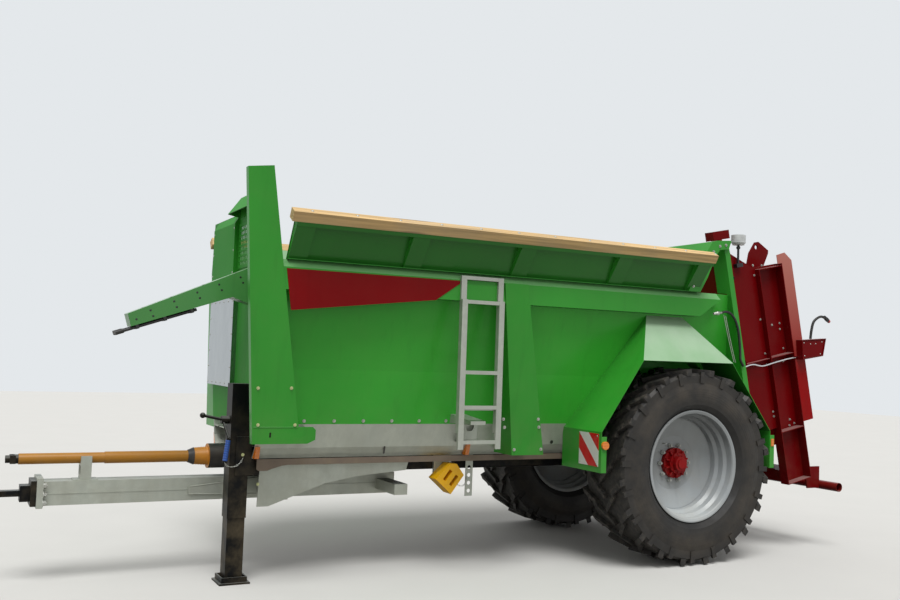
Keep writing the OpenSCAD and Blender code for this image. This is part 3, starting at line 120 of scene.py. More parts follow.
class Graph:
    # adds nodes to a tree; a value that is a socket is linked, any other is set
    def __init__(self, tree):
        self.tree = tree

    def add(self, kind, values=None, **settings):
        node = self.tree.nodes.new(kind)
        for key, value in settings.items():
            setattr(node, key, value)
        for key, value in (values or {}).items():
            if isinstance(value, bpy.types.NodeSocket):
                self.tree.links.new(value, node.inputs[key])
            else:
                node.inputs[key].default_value = value
        return node

    def out(self, kind, values=None, **settings):
        return self.add(kind, values, **settings).outputs[0]

    def math(self, operation, first, second=0.0):
        return self.out("ShaderNodeMath", {0: first, 1: second}, operation=operation)

    def times(self, first, second):
        return self.math("MULTIPLY", first, second)

    def plus(self, first, second):
        return self.math("ADD", first, second)

    def vector(self, x=0.0, y=0.0, z=0.0):
        return self.out("ShaderNodeCombineXYZ", {"X": x, "Y": y, "Z": z})

    def parts(self, vector):
        return self.add("ShaderNodeSeparateXYZ", {0: vector}).outputs

    def mix(self, amount, low, high):
        mixed = self.add("ShaderNodeMix", {0: amount, 6: low, 7: high}, data_type="RGBA")
        return mixed.outputs[2]

    def remap(self, value, fromLow, fromHigh, toLow=0.0, toHigh=1.0):
        values = {"Value": value, "From Min": fromLow, "From Max": fromHigh, "To Min": toLow,
                  "To Max": toHigh}
        return self.out("ShaderNodeMapRange", values)

    def noise(self, scale, detail=3.0, roughness=0.5, where=None):
        where = self.where if where is None else where
        values = {"Vector": where, "Scale": scale, "Detail": detail, "Roughness": roughness}
        return self.out("ShaderNodeTexNoise", values)

    def streaks(self, stretch, detail, roughness=0.5):
        where = self.out("ShaderNodeMapping", {"Vector": self.where, "Scale": stretch})
        return self.noise(1.0, detail, roughness, where)

    def cells(self, scale):
        return self.add("ShaderNodeTexVoronoi", {"Vector": self.where, "Scale": scale}).outputs

    def bump(self, height, distance, strength=0.5, normal=None):
        values = {"Height": height, "Distance": distance, "Strength": strength}
        if normal is not None:
            values["Normal"] = normal
        return self.out("ShaderNodeBump", values)


def newFinish(name):
    material = bpy.data.materials.new(name)
    material.use_nodes = True
    material.node_tree.nodes.clear()
    graph = Graph(material.node_tree)
    graph.material = material
    graph.where = graph.add("ShaderNodeTexCoord").outputs["Object"]
    graph.height = graph.parts(graph.where)["Z"]
    graph.surface = graph.add("ShaderNodeBsdfPrincipled")
    graph.add("ShaderNodeOutputMaterial", {"Surface": graph.surface.outputs[0]})
    return graph


def dress(graph, colour, roughness, normal=None, **constants):
    # constants are the shader's own inputs, with "_" for a blank
    links = graph.tree.links
    links.new(colour, graph.surface.inputs["Base Color"])
    links.new(roughness, graph.surface.inputs["Roughness"])
    if normal is not None:
        links.new(normal, graph.surface.inputs["Normal"])
    for name, value in constants.items():
        graph.surface.inputs[name.replace("_", " ")].default_value = value
    return graph.material


def mottled(graph, base, dark, bright, *grain):
    # grain is the noise's scale, detail and roughness
    tone = graph.noise(*grain)
    return tone, graph.mix(tone, tinted(base, dark), tinted(base, bright))


# field dust that settles low on the machine
dust = {"colour": linear("#8A7C62"), "highZ": 1.45, "lowZ": 0.35, "highShare": 0.12}


def dusted(graph, colour, amount):
    low = graph.remap(graph.height, dust["lowZ"], dust["highZ"], 1.0, dust["highShare"])
    patch = graph.remap(graph.noise(5.0, 6.0, 0.62), 0.42, 0.72)
    return graph.mix(graph.times(graph.times(low, patch), amount), colour, dust["colour"])


# painted reflection of the pale sky on faces that look up and on those that look sideways, and painted
# shade on those that look down
paintedSkyLight = {"low": 0.80, "high": 0.98, "sideways": 0.6, "amount": 0.38, "white": linear("#E9EDE6"),
           "underStart": -0.28, "underEnd": -0.52, "under": 0.50, "shade": 0.12}


def paintSkyLight(graph, colour, base, sheenAndDustFilm):
    normal = graph.parts(graph.add("ShaderNodeNewGeometry").outputs["Normal"])
    # painted shade on faces that look down
    under = graph.remap(normal["Z"], paintedSkyLight["underStart"], paintedSkyLight["underEnd"], 0.0, paintedSkyLight["under"])
    colour = graph.mix(under, colour, tinted(base, paintedSkyLight["shade"]))
    # painted reflection of the sky, paler the more a face looks up and sideways, in uneven patches
    sideways = graph.times(graph.math("ABSOLUTE", normal["Y"]), paintedSkyLight["sideways"])
    pale = graph.remap(graph.plus(normal["Z"], sideways), paintedSkyLight["low"], paintedSkyLight["high"], 0.0,
                       paintedSkyLight["amount"] * sheenAndDustFilm)
    clouded = graph.remap(graph.noise(2.4, 5.0), 0.3, 0.7, 0.75, 1.1)
    return graph.mix(graph.times(pale, clouded), colour, paintedSkyLight["white"])


paintLook = {"wave": 0.024, "grain": 0.0003, "chipAmount": 0.8, "streakAmount": 0.30, "creaseFall": 1.0,
             "creaseDepth": 0.07}


def paint(name, code, roughness=0.38, dirt=0.30, chips=0.02, coat=0.06, creaseZ=None, sheenAndDustFilm=1.0, reflectionFade=None,
          gloss=0.27):
    graph = newFinish(name)
    base = linear(code)
    tone = graph.remap(graph.noise(0.9, 4.0), 0.3, 0.7)
    colour = graph.mix(tone, tinted(base, 0.86), tinted(base, 1.10))
    streak = graph.remap(graph.streaks((16, 16, 0.8), 4.0), 0.55, 0.8, 0.0, paintLook["streakAmount"])
    colour = dusted(graph, graph.mix(streak, colour, tinted(base, 0.62)), dirt)
    if reflectionFade is not None:
        # painted reflection of the sky, paler towards the top
        reflectionShare = graph.remap(graph.height, reflectionFade["low"], reflectionFade["high"], 0.0, reflectionFade["amount"])
        colour = graph.mix(reflectionShare, colour, reflectionFade["colour"])
    # painted sky reflection on upward faces and painted shade on downward ones
    colour = paintSkyLight(graph, colour, base, sheenAndDustFilm)
    chip = graph.remap(graph.noise(34.0, 9.0, 0.66), 0.735 - chips, 0.75 - chips)
    colour = graph.mix(graph.times(chip, paintLook["chipAmount"]), colour, tinted(base, 0.30))
    rough = graph.remap(graph.plus(graph.times(graph.noise(90.0, 2.0), 0.5), chip), 0.2, 1.4,
                        roughness - 0.05, roughness + 0.35)
    panel = graph.bump(graph.noise(1.3, 1.0), paintLook["wave"], 0.35)
    if creaseZ is not None:
        # the sheet is folded along this height, and its lower part faces up a little more
        below = graph.remap(graph.height, creaseZ, creaseZ - paintLook["creaseFall"])
        panel = graph.bump(below, paintLook["creaseDepth"], 1.0, panel)
    skin = graph.bump(graph.noise(160.0, 2.0), paintLook["grain"], 0.2, panel)
    return dress(graph, colour, rough, skin, Specular_IOR_Level=gloss, Coat_Weight=coat,
                 Coat_Roughness=0.12)


def zinc(name, code, spangle=22.0, dirt=0.25, metallic=0.55):
    graph = newFinish(name)
    base = linear(code)
    shade = graph.out("ShaderNodeSeparateColor", {0: graph.cells(spangle)["Color"]})
    patch = graph.remap(graph.noise(3.0, 6.0, 0.6), 0.35, 0.68)
    colour = graph.mix(shade, tinted(base, 0.95), tinted(base, 1.05))
    # upright mottled streaks that the zinc bath leaves
    streak = graph.remap(graph.streaks((14, 14, 4), 7.0, 0.65), 0.36, 0.66)
    colour = graph.mix(graph.times(streak, 0.40), colour, tinted(base, 0.74))
    colour = dusted(graph, graph.mix(graph.times(patch, 0.40), colour, tinted(base, 0.80)), dirt)
    rough = graph.remap(graph.plus(shade, patch), 0.0, 2.0, 0.38, 0.62)
    return dress(graph, colour, rough, graph.bump(graph.noise(60.0, 4.0), 0.0008, 0.35), Metallic=metallic)


def steel(name, code, roughness, wave):
    graph = newFinish(name)
    base = linear(code)
    scratch = graph.streaks((3, 240, 240), 3.0)
    tone, colour = mottled(graph, base, 0.88, 1.06, 4.0, 4.0)
    rough = graph.remap(graph.plus(scratch, tone), 0.6, 1.4, roughness, roughness + 0.16)
    return dress(graph, colour, rough, graph.bump(graph.noise(5.0, 1.0), wave, 0.4), Metallic=1.0)


def plastic(name, code, roughness=0.42, dirt=0.3):
    graph = newFinish(name)
    base = linear(code)
    tone, colour = mottled(graph, base, 0.80, 1.15, 7.0, 5.0)
    scuff = graph.remap(graph.noise(42.0, 8.0, 0.7), 0.60, 0.68, 0.0, 0.6)
    colour = dusted(graph, graph.mix(scuff, colour, tinted(base, 1.5)), dirt)
    rough = graph.remap(graph.plus(tone, scuff), 0.2, 1.3, roughness - 0.08, roughness + 0.25)
    return dress(graph, colour, rough, graph.bump(graph.noise(320.0, 2.0), 0.0004, 0.4))


def axleRadius(graph):
    place = graph.parts(graph.where)
    dx = graph.math("SUBTRACT", place["X"], axleX)
    dz = graph.math("SUBTRACT", place["Z"], axleZ)
    return graph.math("SQRT", graph.plus(graph.times(dx, dx), graph.times(dz, dz)))


def band(graph, value, low, high, soft=0.001):
    return graph.times(graph.remap(value, low - soft, low + soft),
                       graph.remap(value, high - soft, high + soft, 1.0, 0.0))


hubLook = {"nutLow": 0.146, "nutHigh": 0.192, "nut": linear("#A9ABA6"), "dirt": 0.10}


def hubPaint(name, code):
    # red casting with bare zinc nuts on the stud circle
    graph = newFinish(name)
    base = linear(code)
    tone, colour = mottled(graph, base, 0.75, 1.2, 9.0, 5.0)
    nut = band(graph, axleRadius(graph), hubLook["nutLow"], hubLook["nutHigh"])
    colour = dusted(graph, graph.mix(nut, colour, hubLook["nut"]), hubLook["dirt"])
    grain = graph.bump(graph.noise(120.0, 3.0), 0.0008, 0.4)
    return dress(graph, colour, graph.remap(tone, 0.3, 0.7, 0.34, 0.5), grain, Specular_IOR_Level=0.2)


# radii of the tyre's zones, and what lies on them
tyreLook = {"ringPitch": 0.042, "ringDepth": 0.0006, "flank": (0.54, 0.69), "shoulder": (0.60, 0.79),
            "worn": (0.80, 0.885), "dust": linear("#5A5145"), "earth": linear("#565048"),
            "sheenAndDustFilm": linear("#4C4842")}


def tyreRubber(name, code):
    graph = newFinish(name)
    base = linear(code)
    radius = axleRadius(graph)
    tone, colour = mottled(graph, base, 0.72, 1.2, 6.0, 6.0, 0.6)
    worn = graph.remap(radius, *tyreLook["worn"])
    earth = graph.remap(graph.noise(22.0, 7.0, 0.65), 0.44, 0.66, 0.0, 0.75)
    colour = graph.mix(graph.times(worn, earth), colour, tyreLook["earth"])
    sheenAndDustFilm = graph.remap(graph.noise(3.2, 6.0, 0.7), 0.40, 0.75, 0.0, 0.26)
    colour = graph.mix(sheenAndDustFilm, colour, tyreLook["sheenAndDustFilm"])
    shoulder = graph.times(band(graph, radius, *tyreLook["shoulder"], 0.05),
                           graph.remap(graph.noise(4.5, 7.0, 0.66), 0.36, 0.70, 0.03, 0.42))
    colour = graph.mix(shoulder, colour, tyreLook["dust"])
    ring = graph.math("SINE", graph.times(radius, 2 * math.pi / tyreLook["ringPitch"]))
    ridge = graph.times(graph.remap(ring, 0.2, 0.9), band(graph, radius, *tyreLook["flank"], 0.01))
    skin = graph.bump(graph.noise(130.0, 4.0), 0.0015, 0.5, graph.bump(ridge, tyreLook["ringDepth"], 0.8))
    return dress(graph, colour, graph.remap(tone, 0.3, 0.7, 0.48, 0.72), skin, Specular_IOR_Level=0.4)


woodLook = {"knot": linear("#7E5C36"), "grey": linear("#A79A84")}


def wood(name, code):
    graph = newFinish(name)
    base = linear(code)
    grain = graph.remap(graph.streaks((1.2, 46, 46), 6.0, 0.6), 0.38, 0.64)
    fibre = graph.streaks((4, 320, 320), 3.0)
    colour = graph.mix(grain, tinted(base, 0.72), tinted(base, 1.12))
    knot = graph.remap(graph.streaks((1.6, 7, 7), 2.0), 0.68, 0.74, 0.0, 0.8)
    colour = graph.mix(knot, colour, woodLook["knot"])
    grey = graph.remap(graph.noise(2.2, 4.0), 0.45, 0.75, 0.0, 0.45)
    colour = graph.mix(grey, colour, woodLook["grey"])
    return dress(graph, colour, graph.remap(fibre, 0.3, 0.7, 0.62, 0.82), graph.bump(fibre, 0.0012, 0.5))


stripeLook = {"pitch": 0.282, "red": linear("#C20509"), "white": linear("#D4D4CF"),
              "grime": linear("#8A8478")}


def striped(name):
    graph = newFinish(name)
    place = graph.parts(graph.where)
    across = graph.plus(graph.math("ABSOLUTE", place["Y"]), place["Z"])
    share = graph.math("FRACT", graph.math("DIVIDE", across, stripeLook["pitch"]))
    colour = graph.mix(graph.remap(share, 0.495, 0.505), stripeLook["red"], stripeLook["white"])
    tone = graph.noise(14.0, 5.0)
    grime = graph.remap(tone, 0.4, 0.7, 0.0, 0.12)
    colour = dusted(graph, graph.mix(grime, colour, stripeLook["grime"]), 0.10)
    bead = graph.cells(260.0)["Distance"]
    return dress(graph, colour, graph.remap(tone, 0.3, 0.7, 0.28, 0.5), graph.bump(bead, 0.0004, 0.3))


def lens(name, code):
    graph = newFinish(name)
    base = linear(code)
    rib = graph.math("SINE", graph.times(graph.height, 260.0))
    tone, colour = mottled(graph, base, 0.7, 1.25, 30.0, 4.0)
    skin = graph.bump(rib, 0.0008, 0.5)
    return dress(graph, colour, graph.remap(tone, 0.3, 0.7, 0.10, 0.24), skin, Coat_Weight=0.6)


coneLook = {"low": 4.139, "high": 4.253, "grime": linear("#4A4238")}


def conePlastic(name, ringCode, code):
    # the ribbed part of the shaft's cone is orange, the rest is black
    graph = newFinish(name)
    x = graph.parts(graph.where)["X"]
    ring = band(graph, x, axleX + coneLook["low"], axleX + coneLook["high"])
    tone = graph.noise(9.0, 5.0)
    colour = graph.mix(ring, linear(code), linear(ringCode))
    colour = dusted(graph, graph.mix(graph.remap(tone, 0.4, 0.7, 0.0, 0.3), colour, coneLook["grime"]), 0.3)
    skin = graph.bump(graph.noise(300.0), 0.0003, 0.4)
    return dress(graph, colour, graph.remap(tone, 0.3, 0.7, 0.4, 0.6), skin)


def beaconFinish(name, dome, foot, splitZ):
    # the clear dome meets its dark foot at splitZ
    graph = newFinish(name)
    tone = graph.noise(12.0, 5.0)
    top = graph.remap(graph.height, splitZ - 0.002, splitZ + 0.002)
    colour = graph.mix(top, linear(foot), linear(dome))
    colour = graph.mix(graph.remap(tone, 0.4, 0.7, 0.0, 0.3), colour, tinted(linear(foot), 1.6))
    rib = graph.math("SINE", graph.times(graph.height, 420.0))
    return dress(graph, colour, graph.remap(tone, 0.3, 0.7, 0.2, 0.4), graph.bump(rib, 0.0006, 0.5))


# each paint's film amount scales the painted sky reflection on its upward faces
finish = {
    "green": paint("greenPaint", "#33942D"),
    "wallGreen": paint("wallPaint", "#3BAD34", creaseZ=1.673),
    "railGreen": paint("railPaint", "#33942D", sheenAndDustFilm=0.4),
    "frontGreen": paint("frontPaint", "#2F8B2A", roughness=0.5, coat=0.0, gloss=0.05),
    "armGreen": paint("armPaint", "#4C8E4A", roughness=0.34),
    "wedge": paint("wedgePaint", "#7A0508", roughness=0.36, dirt=0.1, chips=0.0, sheenAndDustFilm=0.3, coat=0.0,
                   gloss=0.12),
    "red": paint("redPaint", "#6C0408", roughness=0.36, dirt=0.12, sheenAndDustFilm=0.4, coat=0.0, gloss=0.07),
    # the flaps take a lighter red than the unit's own paint, painted as if lit from the side, with a
    # painted sky reflection towards their top
    "flap": paint("flapPaint", "#900A0D", roughness=0.40, dirt=0.12, sheenAndDustFilm=0.4, coat=0.0, gloss=0.07,
                  reflectionFade={"low": 1.75, "high": 2.95, "amount": 0.62, "colour": linear("#C98F82")}),
    "black": paint("blackPaint", "#0B0C0D", roughness=0.45, sheenAndDustFilm=0.3, coat=0.0, gloss=0.12),
    "rim": paint("rimPaint", "#9EA3A5", roughness=0.34, chips=0.01, coat=0.1, sheenAndDustFilm=0.6),
    "hub": hubPaint("hubPaint", "#8C060C"),
    "zinc": zinc("galvanised", "#B1B5AA"),
    "brownZinc": zinc("brownZinc", "#75675A", dirt=0.7, metallic=0.3),
    "bolt": zinc("boltZinc", "#B9BAB3", spangle=90.0, metallic=0.8),
    "chain": zinc("chainSteel", "#77736A", spangle=60.0, dirt=0.6, metallic=0.7),
    "polished": steel("polishedSteel", "#A6ABAC", roughness=0.09, wave=0.010),
    "rod": steel("rodChrome", "#D9DADB", roughness=0.06, wave=0.0),
    "brass": zinc("passivatedZinc", "#C4C896", spangle=90.0, dirt=0.05, metallic=0.6),
    "blackPlastic": plastic("blackPlastic", "#1B1B1D"),
    "cone": conePlastic("conePlastic", "#C8820F", "#17171A"),
    "guardPlastic": plastic("guardPlastic", "#A87008"),
    "chock": plastic("chockPlastic", "#F0B400", dirt=0.2),
    "grip": plastic("gripPlastic", "#1D4E9E", dirt=0.2),
    "hose": plastic("hoseRubber", "#151412", roughness=0.5),
    "board": wood("boardWood", "#D6B47E"),
    "plate": striped("stripedPlate"),
    "amber": lens("amberLens", "#E07A12"),
    "redLens": lens("redLens", "#B01016"),
    "beacon": beaconFinish("beaconLens", "#C9CCCB", "#1A1A1C", 3.0),
    "tyre": tyreRubber("tyreRubber", "#1D1C1B"),
}

finishOf = {
    "wallGreen": ["side_wall_left", "side_wall_right"],
    "wedge": ["wedge_panels"],
    "railGreen": ["top_rails"],
    "green": ["side_posts", "wall_extensions", "front_columns", "rear_frame", "mudguard_left",
              "mudguard_right"],
    "frontGreen": ["front_wall", "front_cover", "window_grille", "window_hood"],
    "armGreen": ["hose_arm"],
    "red": ["gate", "unit_sides", "unit_top", "unit_base", "beater_left", "beater_right", "rear_bar",
            "lamp_arms"],
    "flap": ["unit_flaps"],
    "black": ["chassis_frame", "axle_beam", "brake_drums", "drive_line", "tow_coupling", "jack_sleeve",
              "jack_leg", "jack_crank", "pto_shaft", "gate_barrels", "scraper_shafts"],
    "rim": ["rim_left", "rim_right"],
    "hub": ["hub_left", "hub_right"],
    "zinc": ["side_frames", "floor_plate", "drawbar", "chock_holders", "pto_cradle", "ladder_upper",
             "ladder_lower"],
    "chain": ["scraper_chains"],
    "polished": ["polished_panel"],
    "rod": ["gate_rods"],
    "cone": ["pto_cones"],
    "guardPlastic": ["pto_guard"],
    "chock": ["wheel_chocks"],
    "hose": ["arm_hoses"],
    "board": ["top_boards"],
    "plate": ["warning_plates"],
    "amber": ["marker_lamps"],
    "beacon": ["beacon"],
    "tyre": ["tyre_left", "tyre_right"],
}
for look, nodes in finishOf.items():
    for node in nodes:
        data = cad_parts[node].data
        data.materials.clear()
        data.materials.append(finish[look])
bare = set(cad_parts) - {n for nodes in finishOf.values() for n in nodes}
print("finishes set; nodes without one:", sorted(bare))


# trees of Geometry Nodes, each with named inputs for its sizes
def newTree(name, sizes):
    tree = bpy.data.node_groups.new(name, "GeometryNodeTree")
    tree.interface.new_socket("Geometry", in_out="INPUT", socket_type="NodeSocketGeometry")
    for label, value in sizes.items():
        socket = tree.interface.new_socket(label, in_out="INPUT", socket_type="NodeSocketFloat")
        socket.default_value = value
    tree.interface.new_socket("Finish", in_out="INPUT", socket_type="NodeSocketMaterial")
    tree.interface.new_socket("Geometry", in_out="OUTPUT", socket_type="NodeSocketGeometry")
    graph = Graph(tree)
    graph.given = graph.add("NodeGroupInput").outputs
    return graph


def endTree(graph, geometry):
    real = graph.out("GeometryNodeRealizeInstances", {"Geometry": geometry})
    coated = graph.out("GeometryNodeSetMaterial", {"Geometry": real, "Material": graph.given["Finish"]})
    graph.add("NodeGroupOutput", {0: coated})
    return graph.tree


def drum(graph, corners, radius, depth, middleZ):
    # upright cylinder with its middle at this height
    mesh = graph.out("GeometryNodeMeshCylinder", {"Vertices": corners, "Radius": radius, "Depth": depth})
    return graph.out("GeometryNodeTransform", {"Geometry": mesh, "Translation": graph.vector(z=middleZ)})


def circle(graph, corners, radius):
    return graph.out("GeometryNodeCurvePrimitiveCircle", {"Resolution": corners, "Radius": radius})


def swept(graph, line, profile, capped=True):
    values = {"Curve": line, "Profile Curve": profile, "Fill Caps": capped}
    return graph.out("GeometryNodeCurveToMesh", values)


def onPoints(graph, thing, axis=None):
    # the thing on each point of the seed, with the axis, if one is given, turned to the point's facing
    values = {"Points": graph.given["Geometry"], "Instance": thing}
    if axis:
        facing = graph.out("GeometryNodeInputNamedAttribute", {"Name": "facing"}, data_type="FLOAT_VECTOR")
        values["Rotation"] = graph.out("FunctionNodeAlignRotationToVector", {"Vector": facing}, axis=axis)
    return graph.out("GeometryNodeInstanceOnPoints", values)


def rotated(graph, instances, turn):
    return graph.out("GeometryNodeRotateInstances", {"Instances": instances, "Rotation": turn})


def boltTree():
    # hexagon head on a washer, with the screw's end above it, each turned at random
    graph = newTree("boltTree", {"Head Radius": 0.014, "Head Height": 0.010, "Washer Radius": 0.019,
                                 "Washer Height": 0.003})
    radius, height = graph.given["Head Radius"], graph.given["Head Height"]
    washer = graph.given["Washer Height"]
    headZ = graph.plus(graph.times(height, 0.5), washer)
    screwZ = graph.plus(headZ, graph.times(height, 0.4))
    parts = graph.add("GeometryNodeJoinGeometry")
    for part in (drum(graph, 16, graph.given["Washer Radius"], washer, graph.times(washer, 0.5)),
                 drum(graph, 6, radius, height, headZ),
                 drum(graph, 8, graph.times(radius, 0.5), height, screwZ)):
        graph.tree.links.new(part, parts.inputs[0])
    spin = graph.add("FunctionNodeRandomValue", {"Seed": 7}, data_type="FLOAT").outputs[1]
    placed = onPoints(graph, parts.outputs[0], "Z")
    return endTree(graph, rotated(graph, placed, graph.vector(z=spin)))


def headTree():
    # low round head
    graph = newTree("headTree", {"Head Radius": 0.012, "Head Height": 0.005})
    radius, height = graph.given["Head Radius"], graph.given["Head Height"]
    ball = graph.out("GeometryNodeMeshUVSphere", {"Segments": 12, "Rings": 6, "Radius": radius})
    flat = graph.vector(1.0, 1.0, graph.math("DIVIDE", height, radius))
    head = graph.out("GeometryNodeTransform", {"Geometry": ball, "Scale": flat})
    return endTree(graph, onPoints(graph, head, "Z"))


def pipeTree():
    # round bar along each edge of the seed, roughened by Ripple
    graph = newTree("pipeTree", {"Radius": 0.010, "Ripple": 0.0, "Step": 0.02})
    given = graph.given
    line = graph.out("GeometryNodeMeshToCurve", {"Mesh": given["Geometry"]})
    even = graph.out("GeometryNodeResampleCurve", {"Curve": line, "Length": given["Step"]}, mode="LENGTH")
    bar = swept(graph, even, circle(graph, 8, given["Radius"]))
    where = graph.out("GeometryNodeInputPosition")
    rough = graph.add("ShaderNodeTexNoise", {"Vector": where, "Scale": 90.0}).outputs[1]
    centred = graph.out("ShaderNodeVectorMath", {0: rough, 1: (0.5, 0.5, 0.5)}, operation="SUBTRACT")
    push = graph.out("ShaderNodeVectorMath", {0: centred, "Scale": given["Ripple"]}, operation="SCALE")
    return endTree(graph, graph.out("GeometryNodeSetPosition", {"Geometry": bar, "Offset": push}))


def linkTree():
    # oval links, every second one turned a quarter about the chain's line
    graph = newTree("linkTree", {"Link Length": 0.078, "Link Width": 0.034, "Wire Radius": 0.006})
    wire = graph.given["Wire Radius"]
    halves = [graph.math("SUBTRACT", graph.times(graph.given[size], 0.5), wire)
              for size in ("Link Length", "Link Width")]
    size = graph.vector(*halves, 1.0)
    oval = graph.out("GeometryNodeTransform", {"Geometry": circle(graph, 12, 1.0), "Scale": size})
    link = swept(graph, oval, circle(graph, 5, wire), capped=False)
    odd = graph.math("MODULO", graph.out("GeometryNodeInputIndex"), 2.0)
    quarter = graph.vector(x=graph.times(odd, math.pi / 2))
    return endTree(graph, rotated(graph, onPoints(graph, link, "X"), quarter))


def slatTree():
    # bar with rounded corners across the floor, on each point
    graph = newTree("slatTree", {"Slat Length": 0.5, "Slat Width": 0.05, "Slat Height": 0.026,
                                 "Corner Radius": 0.004})
    given = graph.given
    half = graph.times(given["Slat Length"], 0.5)
    ends = {"Start": graph.vector(y=graph.times(half, -1.0)), "End": graph.vector(y=half)}
    line = graph.out("GeometryNodeCurvePrimitiveLine", ends)
    size = {0: given["Slat Width"], 1: given["Slat Height"]}
    outline = graph.out("GeometryNodeCurvePrimitiveQuadrilateral", size)
    corners = {"Curve": outline, "Radius": given["Corner Radius"], "Count": 2}
    rounded = graph.out("GeometryNodeFilletCurve", corners, mode="POLY")
    return endTree(graph, onPoints(graph, swept(graph, line, rounded)))


trees = {"bolt": boltTree(), "head": headTree(), "pipe": pipeTree(), "link": linkTree(), "slat": slatTree()}
smoothKinds = ("head", "pipe", "link")


def pointSeed(name, places):
    mesh = bpy.data.meshes.new(name)
    mesh.from_pydata([at for at, way in places], [], [])
    facing = mesh.attributes.new("facing", "FLOAT_VECTOR", "POINT")
    facing.data.foreach_set("vector", [c for at, way in places for c in way])
    return mesh


def lineSeed(name, lines):
    points, edges = [], []
    for line in lines:
        first = len(points)
        points += [tuple(p) for p in line]
        edges += [(first + i, first + i + 1) for i in range(len(line) - 1)]
    mesh = bpy.data.meshes.new(name)
    mesh.from_pydata(points, edges, [])
    return mesh


def inScene(thing):
    bpy.context.scene.collection.objects.link(thing)
    return thing


def place(piece, slotName=None, bodyName="chassis"):
    inScene(piece)
    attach(piece, bodyName)
    return piece


def grow(name, kind, seeds, sizes, look, slotName="galvanised"):
    # seeds are lines of points for a pipe, and else pairs of a place and its facing
    makeSeed = lineSeed if kind == "pipe" else pointSeed
    holder = inScene(bpy.data.objects.new(name + "Seed", makeSeed(name + "Seed", seeds)))
    modifier = holder.modifiers.new("grow", "NODES")
    modifier.node_group = trees[kind]
    values = dict(sizes, Finish=finish[look])
    for item in trees[kind].interface.items_tree:
        if item.in_out == "INPUT" and item.name in values:
            modifier[item.identifier] = values[item.name]
    bpy.context.view_layer.update()
    depsgraph = bpy.context.evaluated_depsgraph_get()
    mesh = bpy.data.meshes.new_from_object(holder.evaluated_get(depsgraph), preserve_all_data_layers=True,
                                           depsgraph=depsgraph)
    holder.modifiers.clear()
    bpy.data.objects.remove(holder)
    for layer in [a for a in mesh.attributes if a.name in ("facing", "UVMap")]:
        mesh.attributes.remove(layer)
    if kind in smoothKinds:
        mesh.polygons.foreach_set("use_smooth", [True] * len(mesh.polygons))
    return place(bpy.data.objects.new(name, mesh), slotName)


def along(first, last, step):
    count = max(1, round((last - first) / step))
    return [first + (last - first) * i / count for i in range(count + 1)]


def outward(side):
    return Vector((0, side, 0))


forward = Vector((1, 0, 0))

# bolts that hold the body together
bodyBolts = {
    "Head Radius": 0.0105, "Head Height": 0.008, "Washer Radius": 0.0145, "Washer Height": 0.0025,
    "frameRow": (2.04, 3.557, 0.2528), "frameRowZ": 1.261,
    "archY": 1.0555,
    "arch": [(-0.10, 2.55), (-0.20, 2.69), (-0.275, 2.80), (-0.345, 2.895), (-0.425, 2.955),
             (-0.50, 2.972)],
    "posts": [(1.885, 1.295), (1.868, 1.226), (1.752, 1.034), (1.534, 1.295), (1.520, 1.226),
              (1.480, 1.034)],
}
places = []
for side in sides.values():
    z = bodyBolts["frameRowZ"]
    places += [(atAxle(x, side * wallY(z), z), wallFacing(side)) for x in along(*bodyBolts["frameRow"])]
    places += [(atAxle(x, side * bodyBolts["archY"], z), outward(side)) for x, z in bodyBolts["arch"]]
    places += [(atAxle(x, side * postY(z), z), postFacing(side)) for x, z in bodyBolts["posts"]]
grow("bodyBolts", "bolt", places, bodyBolts, "bolt")

# yellowish bolts of the corner columns, of the rails and of the crank's chain; the right column is short
columnBolts = {
    "Head Radius": 0.0095, "Head Height": 0.007, "Washer Radius": 0.0130, "Washer Height": 0.0025,
    "column": [(4.027, 1.526), (3.770, 1.530), (4.007, 1.252), (3.72, 1.251)], "shortFront": 3.92,
    "rail": (3.85, 0.5003, 0.75), "chain": (4.000, 0.5673, 0.990),
}
places = [(atAxle(x, side * postY(z), z), postFacing(side)) for side in sides.values()
          for x, z in columnBolts["column"] if side > 0 or x < columnBolts["shortFront"]]
x, y, z = columnBolts["rail"]
places += [(atAxle(x, side * y, z), outward(side)) for side in sides.values()]
places.append((atAxle(*columnBolts["chain"]), outward(1)))
grow("columnBolts", "bolt", places, columnBolts, "brass")

# round heads that hold the top boards
boardHeads = {"Head Radius": 0.013, "Head Height": 0.005, "row": (-0.20, 3.75, 0.36), "across": 0.040,
              "up": 0.4252}
places = []
for side in sides.values():
    upwards = (onExtension(0, 0, 1, side) - onExtension(0, 0, 0, side)).normalized()
    places += [(onExtension(x, boardHeads["across"], boardHeads["up"], side), upwards)
               for x in along(*boardHeads["row"])]
grow("boardHeads", "head", places, boardHeads, "bolt")

# large bolts of the coupling plate
drawbarBolts = {"Head Radius": 0.021, "Head Height": 0.018, "Washer Radius": 0.030, "Washer Height": 0.004,
                "x": 5.385, "ys": (-0.125, 0.125), "zs": (0.605, 0.67, 0.735)}
places = [(atAxle(drawbarBolts["x"], y, z), -forward)
          for y in drawbarBolts["ys"] for z in drawbarBolts["zs"]]
grow("drawbarBolts", "bolt", places, drawbarBolts, "bolt")

# bolts along the spreading unit's uprights, in the leaning frame: a row's y, then each bolt's x and z
unitBolts = {
    "Head Radius": 0.0085, "Head Height": 0.006, "Washer Radius": 0.0120, "Washer Height": 0.002,
    "panel": (0.956, [(-0.462, z) for z in (1.76, 1.66, 1.214, 0.87, 0.76, 0.28, 0.233)]),
    "web": (0.918, [(-0.755, 1.13), (-0.648, 1.13), (-0.75, 1.07), (-0.76, 0.87), (-0.731, 0.744),
                    (-0.53, 0.146), (-0.713, 0.145), (-0.698, 0.085), (-0.77, 0.094), (-0.62, 1.74)]),
}
places = [(leaning(x, side * y, z), outward(side)) for side in sides.values()
          for y, row in (unitBolts["panel"], unitBolts["web"]) for x, z in row]
grow("unitBolts", "bolt", places, unitBolts, "bolt")

